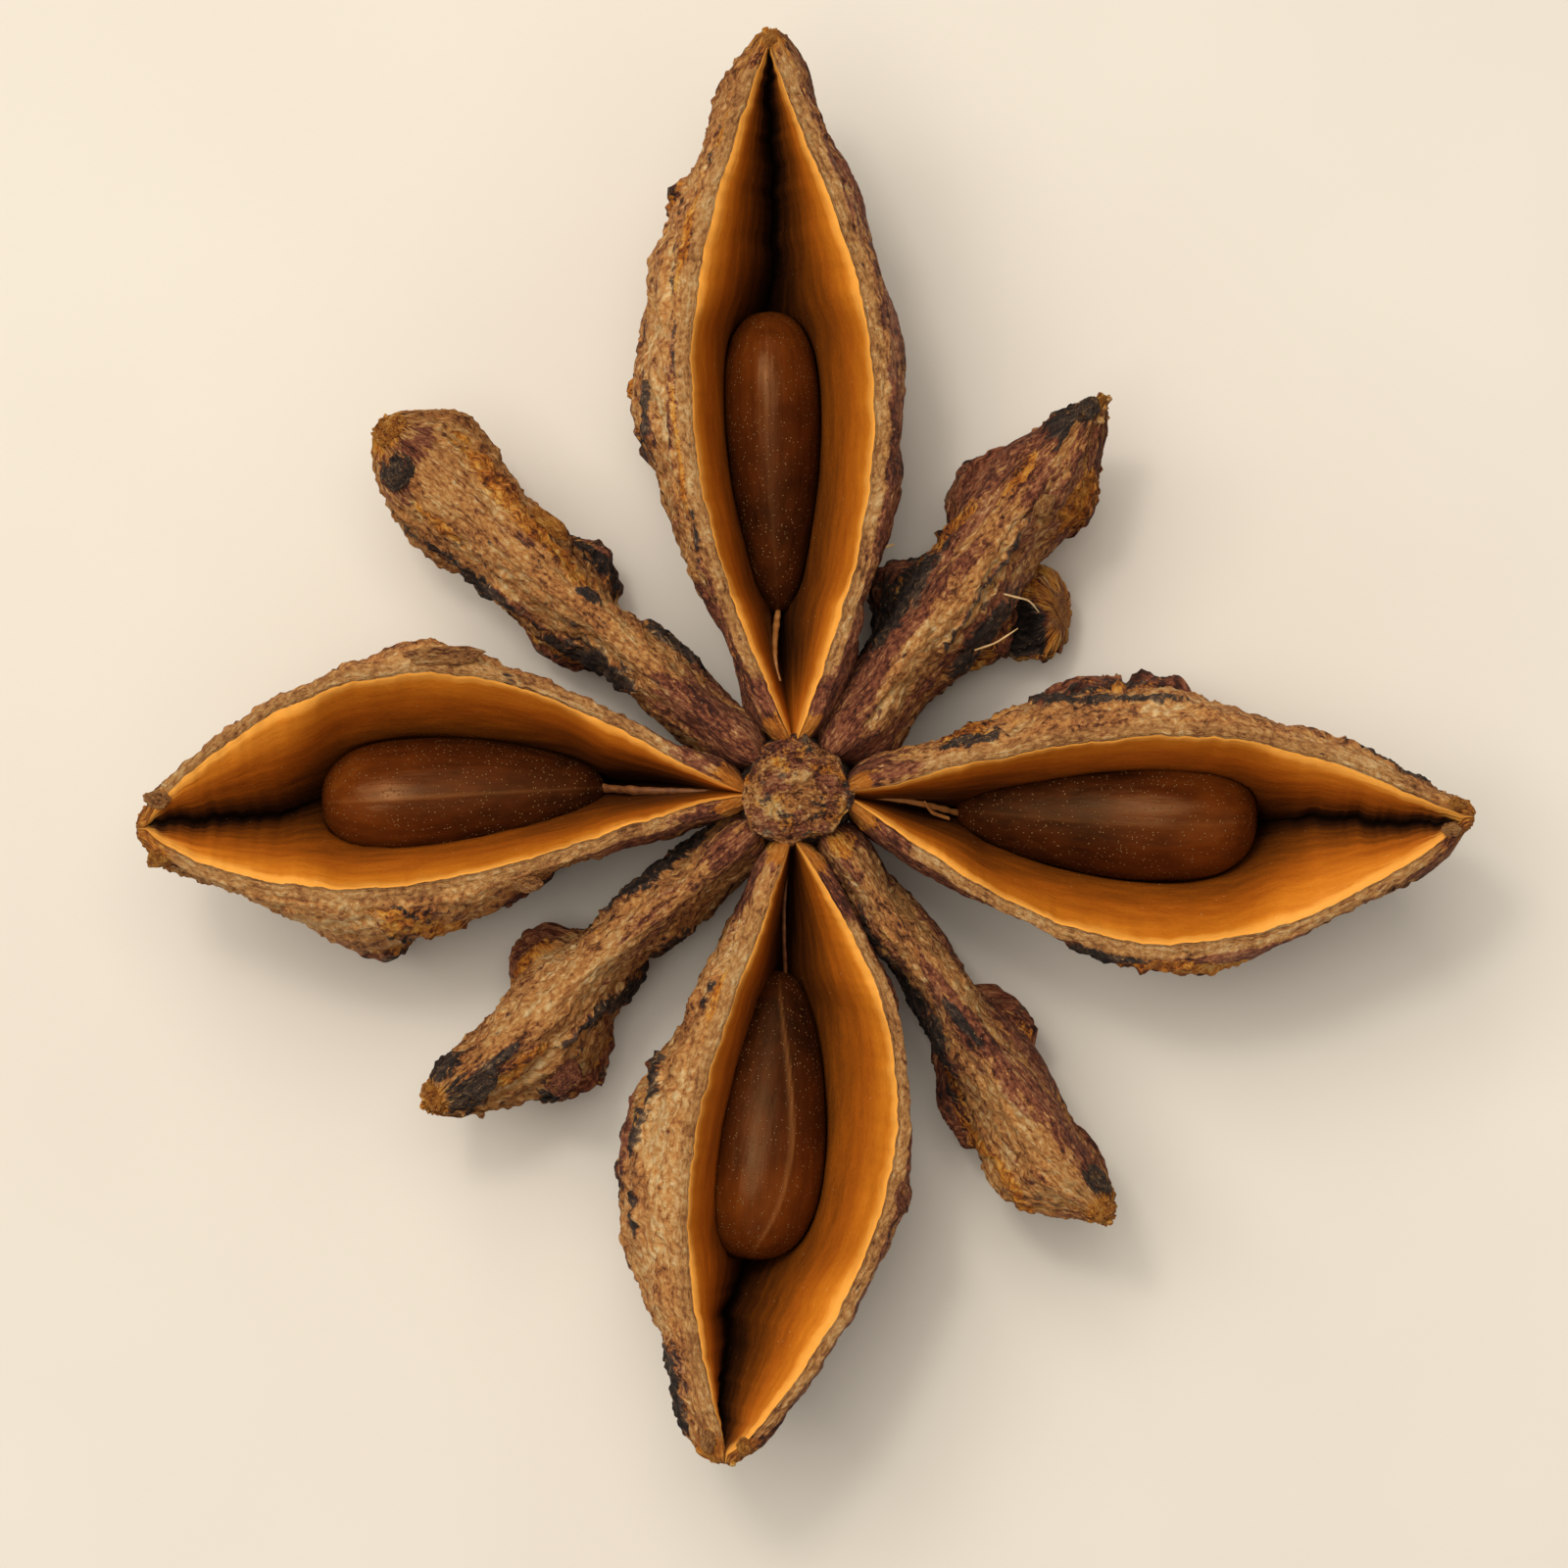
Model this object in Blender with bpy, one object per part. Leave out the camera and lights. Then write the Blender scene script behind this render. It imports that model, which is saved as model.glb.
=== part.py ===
"""Star anise pod, the dried star fruit of Illicium verum, lying with its seams up.

The fruit is one solid: eight boat-shaped carpels grown together round a short column, with
the bent stub of the stalk beneath them. Four carpels have split open along the top, and each
of those holds a loose glossy seed. The four between them stayed narrow and shut.

Sizes are in millimetres, and MM turns them into the metres of the meshes. Each carpel is
worked out in its own frame: "out" runs from the column's axis towards the carpel's tip,
"across" is to the left of that, and "up" is the height over the surface that the pod lies on.
The pod's origin is the middle of its footprint.
"""
import math
from typing import NamedTuple

import bmesh
import bpy

MM = 0.001

# The carpels' common sizes
ROOT = 1.25          # column axis to the rounded inner end of a carpel
ROOT_RUN = 1.3       # length of that rounded end
ROOT_SWELL = 0.35    # extra thickness of the flanks close to the column
ROOT_SINK = 0.35     # how much lower its upper corner lies
END_LEFT = 0.18      # how much of a carpel's width is left at its very ends
SPLIT_FROM = 1.2     # column axis to where a split carpel begins to open
SPLIT_TO_TIP = 0.25  # solid length left between the split and the tip
LIP = 0.36           # thickness of the wall at the opening's edge
CREST = 0.30         # half the thickness of a shut carpel's crest
SEAM_DEPTH = 0.14    # depth of the closed seam along that crest
KEEL_AT_ROOT = 2.7   # height of the keel beside the column
LOWEST_AT = 0.52     # where the keel is lowest, as a share of the carpel's length
TIP_RISE = 2.5       # how sharply the keel curves up to the beak
TIP_DEPTH = 1.0      # depth of the beak at its end
TIP_ROUND_DEPTH = 3.0  # the beak's end closes towards the middle of this depth
POCKET_SHARE = 0.84  # depth of the hollow as a share of the carpel's depth
POCKET_POWER = 0.38  # how steeply its floor drops at the two ends
SLIT = 0.04          # half-width of the split where it runs out
REST_CUT = 0.12      # how much of a belly is flattened by the surface it lies on
CREASE = 0.85        # slope of the lining beyond the seed, where the hollow is a V
CREASE_RUN = 2.0     # length over which it becomes so
FLOOR_SHIFT = 1.7    # how much farther across than its seed the hollow's floor lies
SHOULDER = 0.5       # below 1 a flank leaves its lip as a broad shoulder
OUTER_SLOPE = 0.6    # how much of the lining's slope the flank shares
CLOSER_STEPS = 1.4   # above 1 the facets are closer together at the lip
WAVE_DEPTH = 0.13    # the flanks' shallow waves
WAVE_LENGTH = 4.3
WAVE_SLANT = 2.4     # turns the waves askew on the flank, in radians from lip to keel

# Fineness of the lofts
STATIONS = 20
WALL_STEPS = 6       # facets from lip to keel, and from lip to floor, on each side

# Column and stalk
COLUMN_PROFILE = ((0.0, 7.75), (0.75, 7.85), (1.25, 7.65), (1.42, 7.2), (1.3, 6.6),
                  (1.9, 5.8), (2.5, 4.6), (2.4, 3.2), (1.6, 2.5), (0.0, 2.3))
COLUMN_SIDES = 16
STALK_PATH = ((0.0, 0.0, 3.4), (1.0, 1.3, 2.2), (2.5, 3.1, 1.45), (4.15, 4.4, 1.35),
              (5.6, 4.85, 1.6), (6.75, 4.95, 1.9), (7.1, 4.95, 2.1), (7.3, 4.95, 2.2))
STALK_RADII = (1.3, 1.0, 0.85, 0.8, 1.05, 1.25, 1.1, 0.6)
STALK_SIDES = 12

# Seeds
SEED_RINGS = 10
SEED_SIDES = 16
SEED_PINCH = 0.30    # how much slimmer the end at the column is
SEED_FULL = 0.12     # how much fuller it is than an egg
SEED_BLUNT = 0.25    # how far the thickest place lies towards the blunt end
SEED_TILT = 0.35     # how much higher the slim end lies, and the blunt end lower


class Wall(NamedTuple):
    """One side of a carpel, measured across from the carpel's middle plane."""

    lip: float        # farthest that the opening's edge stands out, 0 on a shut carpel
    lip_at: float     # where that is, as a share of the opening's length
    lip_full: float   # 1 curves the edge like a sine, less makes it fuller
    flank: float      # swell of the flank beyond the lip, all along
    belly: float      # further swell at the belly
    belly_at: float   # where that is, as a share of the carpel's length
    belly_run: float  # how far it spreads, likewise
    slope: float = 0.0  # 1 slants the lining straight from lip to floor, 0 drops it steeply


class Carpel(NamedTuple):
    name: str
    angle: float       # degrees round the column, counter-clockwise from +X
    reach: float       # column axis to tip
    left: Wall
    right: Wall
    keel: float        # how far across the keel lies
    crest_root: float  # height of the upper edge beside the column
    crest_tip: float   # and at the tip
    tilt: float        # how much higher the left edge stands than the right one
    lowest: float      # height of the belly's lowest line
    tip_run: float     # length of the rounded end at the tip
    tip_power: float   # 0.5 rounds that end like an ellipse, more draws it to a point
    tip_shift: float   # how far across the tip lies


class Seed(NamedTuple):
    inner: float   # column axis to the seed's inner end
    outer: float   # column axis to its outer end
    across: float  # place across the carpel
    half_width: float
    bottom: float
    top: float


SPLIT_CARPELS = {
    "e": Carpel("e", -1.8, 18.2,
                Wall(1.84, 0.55, 1.05, 0.30, 1.25, 0.42, 0.30, 0.2),
                Wall(3.75, 0.52, 0.82, 0.40, 0.90, 0.57, 0.12, 0.62),
                -0.2, 7.6, 8.7, 0.7, 0.0, 0.8, 0.50, -0.1),
    "n": Carpel("n", 92.0, 20.4,
                Wall(2.42, 0.50, 1.00, 0.30, 1.65, 0.55, 0.30, 0.4),
                Wall(2.47, 0.49, 1.25, 0.60, 0.55, 0.55, 0.30, 0.6),
                0.1, 7.6, 9.3, -0.4, 0.0, 1.3, 0.55, 0.0),
    "w": Carpel("w", 183.2, 17.7,
                Wall(1.94, 0.62, 0.70, 0.30, 1.65, 0.60, 0.20, 0.2),
                Wall(3.75, 0.55, 0.72, 0.35, 0.95, 0.52, 0.13, 0.62),
                -0.1, 7.6, 8.6, 0.6, 0.0, 0.7, 0.45, 0.0),
    "s": Carpel("s", 264.0, 18.1,
                Wall(3.65, 0.47, 0.77, 0.25, 0.70, 0.58, 0.10, 0.62),
                Wall(1.75, 0.56, 1.10, 0.50, 1.75, 0.56, 0.28, 0.2),
                0.1, 7.6, 8.8, -0.6, 0.0, 0.7, 0.50, 0.0),
}
SHUT_CARPELS = {
    "ne": Carpel("ne", 53.3, 13.6,
                 Wall(0.0, 0.5, 1.0, 0.75, 0.60, 0.68, 0.13),
                 Wall(0.0, 0.5, 1.0, 1.00, 0.60, 0.48, 0.35),
                 -0.1, 7.2, 6.6, 0.0, 1.0, 2.6, 0.85, -0.3),
    "nw": Carpel("nw", 139.1, 15.1,
                 Wall(0.0, 0.5, 1.0, 0.65, 0.85, 0.80, 0.38),
                 Wall(0.0, 0.5, 1.0, 0.75, 0.95, 0.84, 0.22),
                 0.1, 7.2, 6.3, 0.0, 0.9, 1.9, 0.60, -0.15),
    "sw": Carpel("sw", 219.9, 13.2,
                 Wall(0.0, 0.5, 1.0, 0.75, 1.15, 0.72, 0.20),
                 Wall(0.0, 0.5, 1.0, 0.65, 0.25, 0.55, 0.30),
                 0.1, 7.2, 6.5, 0.0, 1.0, 2.2, 0.60, 0.1),
    "se": Carpel("se", 306.6, 14.4,
                 Wall(0.0, 0.5, 1.0, 0.70, 0.20, 0.60, 0.25),
                 Wall(0.0, 0.5, 1.0, 0.60, 1.15, 0.80, 0.20),
                 -0.1, 7.2, 6.6, 0.0, 1.1, 2.3, 0.65, -0.1),
}
SEEDS = {
    "e": Seed(4.4, 12.4, -0.45, 1.70, 2.15, 6.5),
    "n": Seed(4.9, 13.1, 0.30, 1.56, 2.00, 6.8),
    "w": Seed(5.2, 12.9, -0.40, 1.68, 2.35, 6.5),
    "s": Seed(4.9, 12.5, 0.30, 1.68, 2.25, 6.5),
}

BARK = ((0.30, 0.18, 0.10), 0.75)
SEED_COAT = ((0.16, 0.06, 0.025), 0.18)


def rounded(distance, run):
    """0 at a rounded end, rising like a quarter circle to 1 a run's length away from it."""
    left = 1.0 - min(max(distance / run, 0.0), 1.0)
    return (1.0 - left * left) ** 0.5


def swell(wall, share, out):
    """How far a flank stands out beyond the plain curve from lip to keel."""
    belly = wall.belly * math.exp(-((share - wall.belly_at) / wall.belly_run) ** 2)
    return wall.flank + belly + ROOT_SWELL * math.exp(-(out - ROOT) / ROOT_RUN)


def along_split(carpel, out):
    """Share of the split's length passed at this distance from the column."""
    along = (out - SPLIT_FROM) / (carpel.reach - SPLIT_TO_TIP - SPLIT_FROM)
    return min(max(along, 0.0), 1.0)


def opening(wall, carpel, out):
    """How far the opening's edge stands out at this distance from the column."""
    along = along_split(carpel, out)
    skewed = along ** (math.log(0.5) / math.log(wall.lip_at))
    power = 1.0 + (wall.lip_full - 1.0) * along
    return max(wall.lip * math.sin(math.pi * skewed) ** power, SLIT)


def pocket_share(carpel, out):
    """Depth of the hollow here as a share of the carpel's depth."""
    arch = math.sin(math.pi * along_split(carpel, out))
    return POCKET_SHARE * max(arch, SLIT) ** POCKET_POWER


def keel_height(carpel, share, crest):
    if share < LOWEST_AT:
        drop = (1.0 - share / LOWEST_AT) ** 2
        return carpel.lowest + (KEEL_AT_ROOT - carpel.lowest) * drop
    rise = ((share - LOWEST_AT) / (1.0 - LOWEST_AT)) ** TIP_RISE
    return carpel.lowest + (crest - TIP_DEPTH - carpel.lowest) * rise


def half_section(side, lip, bulge, foot, top, depth, slope, wave=None):
    """Points (across, up) from the lip down to the keel or floor on one side of a section.

    The outer side has waves, and a shoulder below its lip.
    """
    points = []
    for step in range(WALL_STEPS + 1):
        turn = 0.5 * math.pi * (step / WALL_STEPS) ** CLOSER_STEPS
        down = math.sin(turn)
        straight = slope * (1.0 - down) + (1.0 - slope) * math.cos(turn)
        stand = max(math.sin(2.0 * turn), 0.0)
        if wave is not None:
            bulge_here = bulge + WAVE_DEPTH * math.sin(wave + WAVE_SLANT * turn)
            stand = stand ** SHOULDER if turn < 0.25 * math.pi else stand
        else:
            bulge_here = bulge
        across = side * (lip * straight + bulge_here * stand)
        points.append((across + foot * down, top - depth * down))
    return points


def across_and_back(left, right):
    """One line of points down the left side and up the right one."""
    return left + right[-2::-1]


def section(carpel, out, seed=None):
    """Where a plane across the carpel cuts it: the outer line, and the inner one or the seam."""
    share = (out - ROOT) / (carpel.reach - ROOT)
    crest = carpel.crest_root + (carpel.crest_tip - carpel.crest_root) * share
    resting = REST_CUT if carpel.lowest == 0.0 else 0.0
    depth = crest - keel_height(carpel, share, crest) + resting
    root = max(rounded(out - ROOT, ROOT_RUN), END_LEFT)
    tip = max(rounded(carpel.reach - out, carpel.tip_run) ** (2.0 * carpel.tip_power), END_LEFT)
    shift = carpel.tip_shift * share ** 3
    outer = []
    inner = []
    for side, wall in ((1.0, carpel.left), (-1.0, carpel.right)):
        lean = side * 0.5 * carpel.tilt * math.sin(math.pi * share)
        bulge = swell(wall, share, out)
        edge = opening(wall, carpel, out) if seed else 0.0
        thickness = LIP if seed else CREST
        wave = 2.0 * math.pi * out / WAVE_LENGTH + side * carpel.angle
        outer.append(half_section(side, edge + root * thickness, root * bulge, carpel.keel,
                                  crest + lean, depth + lean, OUTER_SLOPE * wall.slope, wave))
        if seed:
            pocket = pocket_share(carpel, out)
            beyond = min(max((out - seed.outer) / CREASE_RUN, 0.0), 1.0)
            hollow = 0.75 * (root * bulge - 0.35 * LIP) * pocket * (1.0 - beyond)
            floor = FLOOR_SHIFT * seed.across * pocket
            inner.append(half_section(side, edge, max(hollow, 0.0), floor,
                                      crest + lean, pocket * (depth + lean),
                                      max(wall.slope, CREASE * beyond)))
    lines = [across_and_back(*outer)]
    lines.append(across_and_back(*inner) if seed else [(0.0, crest - SEAM_DEPTH)])
    middle = crest - 0.5 * min(depth, TIP_ROUND_DEPTH)
    sunk = ROOT_SINK * (1.0 - root)
    placed = []
    for line in lines:
        placed.append([
            (across * tip + shift, max(middle + (up - middle) * tip ** 0.7 - sunk, 0.0))
            for across, up in line
        ])
    return placed


def add_material(name, finish):
    colour, roughness = finish
    material = bpy.data.materials.new(name)
    material.use_nodes = True
    shader = material.node_tree.nodes["Principled BSDF"]
    shader.inputs["Base Color"].default_value = (*colour, 1.0)
    shader.inputs["Roughness"].default_value = roughness
    shader.inputs["Metallic"].default_value = 0.0
    return material


def add_object(name, mesh_source, collection, material, parent):
    bmesh.ops.triangulate(mesh_source, faces=mesh_source.faces)
    if mesh_source.calc_volume(signed=True) < 0.0:
        bmesh.ops.reverse_faces(mesh_source, faces=mesh_source.faces)
    mesh = bpy.data.meshes.new(name)
    mesh_source.to_mesh(mesh)
    mesh_source.free()
    mesh.materials.append(material)
    mesh.shade_smooth()
    thing = bpy.data.objects.new(name, mesh)
    collection.objects.link(thing)
    thing.parent = parent
    return thing


def place_on_axis(angle, out, across, up):
    """A point of a carpel's own frame, in the pod's frame and in metres."""
    turn = math.radians(angle)
    x = out * math.cos(turn) - across * math.sin(turn)
    y = out * math.sin(turn) + across * math.cos(turn)
    return (x * MM, y * MM, up * MM)


def loft(rows):
    """The skin over rows of points, each of which is a closed ring."""
    skin = bmesh.new()
    rows = [[skin.verts.new(point) for point in row] for row in rows]
    count = len(rows[0])
    for row, following in zip(rows, rows[1:]):
        for i in range(count):
            j = (i + 1) % count
            skin.faces.new((row[i], row[j], following[j], following[i]))
    return skin, rows[0][::-1], rows[-1]


def close_with_pole(skin, ring, point):
    """Closes a loft's end with faces from its ring to one point."""
    pole = skin.verts.new(point)
    for i in range(len(ring)):
        skin.faces.new((ring[i], ring[(i + 1) % len(ring)], pole))


def close_across_wall(skin, ring):
    """Closes a loft's end with faces from the outer half of its ring to the inner half."""
    count = len(ring)
    for i in range(count // 2 - 1):
        skin.faces.new((ring[i], ring[i + 1], ring[count - 2 - i], ring[count - 1 - i]))


def station_places(carpel, first, last):
    """Distances from the column, closer together towards the carpel's two ends."""
    length = carpel.reach - ROOT
    for step in range(first, last + 1):
        yield ROOT + 0.5 * length * (1.0 - math.cos(math.pi * step / STATIONS))


def make_split_carpel(carpel, seed, collection, material, parent):
    """A carpel that gapes: its two walls run from the column to the beak."""
    rows = []
    for out in station_places(carpel, 0, STATIONS):
        outer, inner = section(carpel, out, seed)
        ring = outer + inner[::-1]
        rows.append([place_on_axis(carpel.angle, out, *point) for point in ring])
    skin, first, last = loft(rows)
    close_across_wall(skin, first)
    close_across_wall(skin, last)
    return add_object("carpel_" + carpel.name, skin, collection, material, parent)


def make_shut_carpel(carpel, collection, material, parent):
    """A carpel that never opened, with the closed seam along its crest."""
    rows = []
    for out in station_places(carpel, 1, STATIONS - 1):
        outer, seam = section(carpel, out)
        rows.append([place_on_axis(carpel.angle, out, *point) for point in outer + seam])
    skin, first, last = loft(rows)
    root_up = carpel.crest_root - 0.5 * TIP_ROUND_DEPTH
    tip_up = carpel.crest_tip - 0.5 * TIP_DEPTH
    close_with_pole(skin, first, place_on_axis(carpel.angle, ROOT, 0.0, root_up))
    tip = place_on_axis(carpel.angle, carpel.reach, carpel.tip_shift, tip_up)
    close_with_pole(skin, last, tip)
    return add_object("carpel_" + carpel.name, skin, collection, material, parent)


def make_column(collection, material, parent):
    """The short column in the middle, turned from its profile."""
    rings = []
    for radius, up in COLUMN_PROFILE[1:-1]:
        ring = []
        for step in range(COLUMN_SIDES):
            turn = 2.0 * math.pi * step / COLUMN_SIDES
            ring.append((radius * math.cos(turn) * MM, radius * math.sin(turn) * MM, up * MM))
        rings.append(ring)
    skin, first, last = loft(rings)
    close_with_pole(skin, first, (0.0, 0.0, COLUMN_PROFILE[0][1] * MM))
    close_with_pole(skin, last, (0.0, 0.0, COLUMN_PROFILE[-1][1] * MM))
    return add_object("pod", skin, collection, material, parent)


def make_stalk(collection, material, parent):
    """The stalk's stub: a tube along its bent path, thick where it grew from the column."""
    curve = bpy.data.curves.new("stalk", "CURVE")
    curve.dimensions = "3D"
    curve.bevel_depth = MM
    curve.bevel_resolution = STALK_SIDES // 4 - 1
    curve.use_fill_caps = True
    spline = curve.splines.new("POLY")
    spline.points.add(len(STALK_PATH) - 1)
    for point, place, radius in zip(spline.points, STALK_PATH, STALK_RADII):
        point.co = (place[0] * MM, place[1] * MM, place[2] * MM, 1.0)
        point.radius = radius
    tube = bpy.data.objects.new("stalk_curve", curve)
    collection.objects.link(tube)
    bpy.context.view_layer.update()
    evaluated = tube.evaluated_get(bpy.context.evaluated_depsgraph_get())
    skin = bmesh.new()
    skin.from_mesh(bpy.data.meshes.new_from_object(evaluated))
    bpy.data.objects.remove(tube)
    bmesh.ops.remove_doubles(skin, verts=skin.verts, dist=1e-6)
    return add_object("stalk", skin, collection, material, parent)


def make_seed(carpel, seed, collection, material, parent):
    """A flat egg standing on its edge, with the slimmer end towards the column."""
    skin = bmesh.new()
    bmesh.ops.create_uvsphere(skin, u_segments=SEED_SIDES, v_segments=SEED_RINGS, radius=1.0)
    middle = 0.5 * (seed.inner + seed.outer)
    half_length = 0.5 * (seed.outer - seed.inner)
    half_height = 0.5 * (seed.top - seed.bottom)
    for vertex in skin.verts:
        across, up, along = vertex.co
        full = max(1.0 - along * along, 0.001) ** -SEED_FULL
        slim = full * (1.0 - SEED_PINCH * 0.5 * (1.0 - along))
        along += SEED_BLUNT * (1.0 - along * along)
        vertex.co = place_on_axis(
            carpel.angle,
            middle + half_length * along,
            seed.across + seed.half_width * across * slim,
            seed.bottom + half_height * (1.0 + up * slim) - SEED_TILT * along,
        )
    return add_object("seed_" + carpel.name, skin, collection, material, parent)


def footprint_middle(objects):
    """The middle of the box round these objects, as they stand round the column."""
    xs = [vertex.co.x for thing in objects for vertex in thing.data.vertices]
    ys = [vertex.co.y for thing in objects for vertex in thing.data.vertices]
    return 0.5 * (min(xs) + max(xs)), 0.5 * (min(ys) + max(ys))


def build():
    for thing in list(bpy.data.objects):
        bpy.data.objects.remove(thing)
    pod_parts = bpy.data.collections.new("star_anise_pod")
    joined_parts = bpy.data.collections.new("joined_parts")
    bpy.context.scene.collection.children.link(pod_parts)
    bpy.context.scene.collection.children.link(joined_parts)
    bark = add_material("bark", BARK)
    seed_coat = add_material("seed_coat", SEED_COAT)
    base = bpy.data.objects.new("footprint", None)
    pod_parts.objects.link(base)

    grown = []
    for carpel in SPLIT_CARPELS.values():
        seed = SEEDS[carpel.name]
        grown.append(make_split_carpel(carpel, seed, joined_parts, bark, base))
        make_seed(carpel, seed, pod_parts, seed_coat, base)
    for carpel in SHUT_CARPELS.values():
        grown.append(make_shut_carpel(carpel, joined_parts, bark, base))
    middle_x, middle_y = footprint_middle(grown)
    base.location = (-middle_x, -middle_y, 0.0)
    grown.append(make_stalk(joined_parts, bark, base))
    for thing in grown:
        thing.hide_render = True
        thing.display_type = "WIRE"
    pod = make_column(pod_parts, bark, base)
    join = pod.modifiers.new("grown_together", "BOOLEAN")
    join.operation = "UNION"
    join.operand_type = "COLLECTION"
    join.collection = joined_parts
    join.solver = "EXACT"


build()
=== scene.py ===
"""Looks of the star anise pod: bark, lining, seeds, column cap, stalk, threads and crumbs.

The surfaces follow the solids' own formulas and sizes on finer grids, and carry ridges, flakes,
ledges and grains. Sizes are in millimetres and MM makes metres of them. A carpel's own frame is
(out, across, up): out from the column's axis, across to the left of that, and up from the
surface that the pod lies on.
"""

import math
from collections import namedtuple
from functools import partial

import bmesh
import bpy
import numpy as np
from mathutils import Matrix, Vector


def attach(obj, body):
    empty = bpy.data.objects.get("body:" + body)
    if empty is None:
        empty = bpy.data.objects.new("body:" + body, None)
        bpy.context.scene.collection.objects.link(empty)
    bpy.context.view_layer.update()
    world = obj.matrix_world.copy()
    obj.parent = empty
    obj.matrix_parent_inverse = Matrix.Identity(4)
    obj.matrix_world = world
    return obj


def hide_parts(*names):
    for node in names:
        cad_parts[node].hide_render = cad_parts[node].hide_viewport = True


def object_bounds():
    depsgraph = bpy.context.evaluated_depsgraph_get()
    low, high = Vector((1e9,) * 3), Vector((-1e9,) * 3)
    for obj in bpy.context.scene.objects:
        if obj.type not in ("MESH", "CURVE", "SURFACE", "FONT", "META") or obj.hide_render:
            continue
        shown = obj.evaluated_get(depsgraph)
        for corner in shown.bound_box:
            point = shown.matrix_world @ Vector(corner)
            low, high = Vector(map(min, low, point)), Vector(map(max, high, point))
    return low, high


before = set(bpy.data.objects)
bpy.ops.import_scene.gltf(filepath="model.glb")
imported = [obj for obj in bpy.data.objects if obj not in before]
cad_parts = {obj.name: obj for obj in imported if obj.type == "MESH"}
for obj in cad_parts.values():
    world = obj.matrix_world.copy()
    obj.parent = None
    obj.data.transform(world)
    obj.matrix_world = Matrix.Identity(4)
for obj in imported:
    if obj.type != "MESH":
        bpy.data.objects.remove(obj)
cad_low, cad_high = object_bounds()

MM = 0.001

# Sizes shared with the solids
ROOT = 1.25
ROOT_RUN = 1.3
ROOT_SWELL = 0.35
ROOT_SINK = 0.35
END_LEFT = 0.18
SPLIT_FROM = 1.2
SPLIT_TO_TIP = 0.25
LIP = 0.36
CREST = 0.30
KEEL_AT_ROOT = 2.7
LOWEST_AT = 0.52
TIP_RISE = 2.5
TIP_DEPTH = 1.0
TIP_ROUND_DEPTH = 3.0
POCKET_SHARE = 0.84
POCKET_POWER = 0.38
SLIT = 0.04
REST_CUT = 0.12
CREASE_RUN = 2.0
FLOOR_SHIFT = 1.7
SHOULDER = 0.5
OUTER_SLOPE = 0.6
WAVE_DEPTH = 0.13
WAVE_LENGTH = 4.3
WAVE_SLANT = 2.4
STALK_PATH = ((0.0, 0.0, 3.4), (1.0, 1.3, 2.2), (2.5, 3.1, 1.45), (4.15, 4.4, 1.35),
              (5.6, 4.85, 1.6), (6.75, 4.95, 1.9), (7.1, 4.95, 2.1), (7.3, 4.95, 2.2))
STALK_RADII = (1.3, 1.0, 0.85, 0.8, 1.05, 1.25, 1.1, 0.6)

# Fineness of the grids
SPLIT_STATIONS = 220
SHUT_STATIONS = 190
BARK_STEPS = 92
LINING_STEPS = 40
RIM_STEPS = 6
SHUT_STEPS = 84

# Form that the solids leave out
HUB_TOP = 7.85        # of the column's cap, which is a little wider than the solid's
HUB_RADIUS = 1.5
LINING_ROLL = 1.6     # above 1 the lining leaves the lip level and then drops into the crease
LINING_BY_SEED = 1.12  # the same beside the seed
SEED_TILT = -0.25     # the seeds' outer ends stand a little higher than their inner ones
SEED_PINCH = 0.26     # how much slimmer a seed's inner end is than its outer one
SEED_FULL = 0.06      # how much rounder its ends are than an egg's
SEED_BLUNT = 0.18     # how far its thickest place lies towards the outer end
SEED_GAP = 0.04       # between a seed and the lining that it shaped
SEED_GAP_SOFT = 0.08
PAINTED_SHADE_WIDTH = 0.8     # how wide a split has to be, beside its depth, to stay free of painted shade
CREASE_SHADE_WIDTH = 0.42    # how wide the darker painted shade along the crease is
ROOT_END = 1.5        # where the walls' blunt orange ends stand round the column
PATCHES_TO = 6.5      # patches end this far from the lip, so none shows on the underside
PATCH_OVER = 0.80     # how strongly a patch covers, and what is left of the other kinds in it
PATCH_UNDER = 0.20
GRAIN_RADIUS = 5.0    # the bark's pattern is laid round a roll of this radius
LIP_WAVER = ((0.9, 0.06), (2.7, 0.035), (7.0, 0.02))     # waves per mm and size of each layer
CREASE_WAVER = ((1.1, 0.10), (3.1, 0.10), (6.5, 0.06))
LOW_CORK = 0.55       # how much cork covers the underside
FOLD_HEIGHT = 0.14    # the bark's relief
FLAKE_HEIGHT = 0.17
FIBRE_HEIGHT = 0.06
GRAIN_HEIGHT = 0.075
RELIEF_UNIT = 0.2     # the height that the materials read as 1
RIM_CROWN = 0.07      # how far the wall's cut edge bulges
RIM_ROLL = 0.07       # and how far it reaches round in the bark's pattern, in radians
RAPHE_WIDTH = 0.038   # of the ridge along a seed, in radians, and of the hollow beside it
RAPHE_HOLLOW = 0.16

KINDS = ("cork", "coal", "rust")
BARK, RIM, LINING = 0.0, 1.0, 2.0
LATTICE_SIZE = 4096
LATTICE_STEPS = (73856093, 19349663, 83492791)

HALF_PI = 0.5 * math.pi

# One side of a carpel, as in the solids
Wall = namedtuple("Wall", "flank belly belly_at belly_run lip lip_at lip_full slope",
                  defaults=(0, 0.5, 1, 0))
Carpel = namedtuple("Carpel", "name angle reach left right keel crest_root crest_tip tilt lowest "
                              "tip_run tip_power tip_shift")

# A raphe's strength is 0 to 1, for its ridge and for the painted highlight along it, and its lean is in
# degrees to the left
Seed = namedtuple("Seed", "inner outer across half_width bottom top raphe_lean raphe")

# A ragged lobe that stands out from a flank: side is 1 on the left and -1 on the right, turn goes
# in degrees from the lip towards the keel, run is how far it spreads along the carpel, and spread
# is how far round it in degrees
Ledge = namedtuple("Ledge", "side out turn run spread height")

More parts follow.
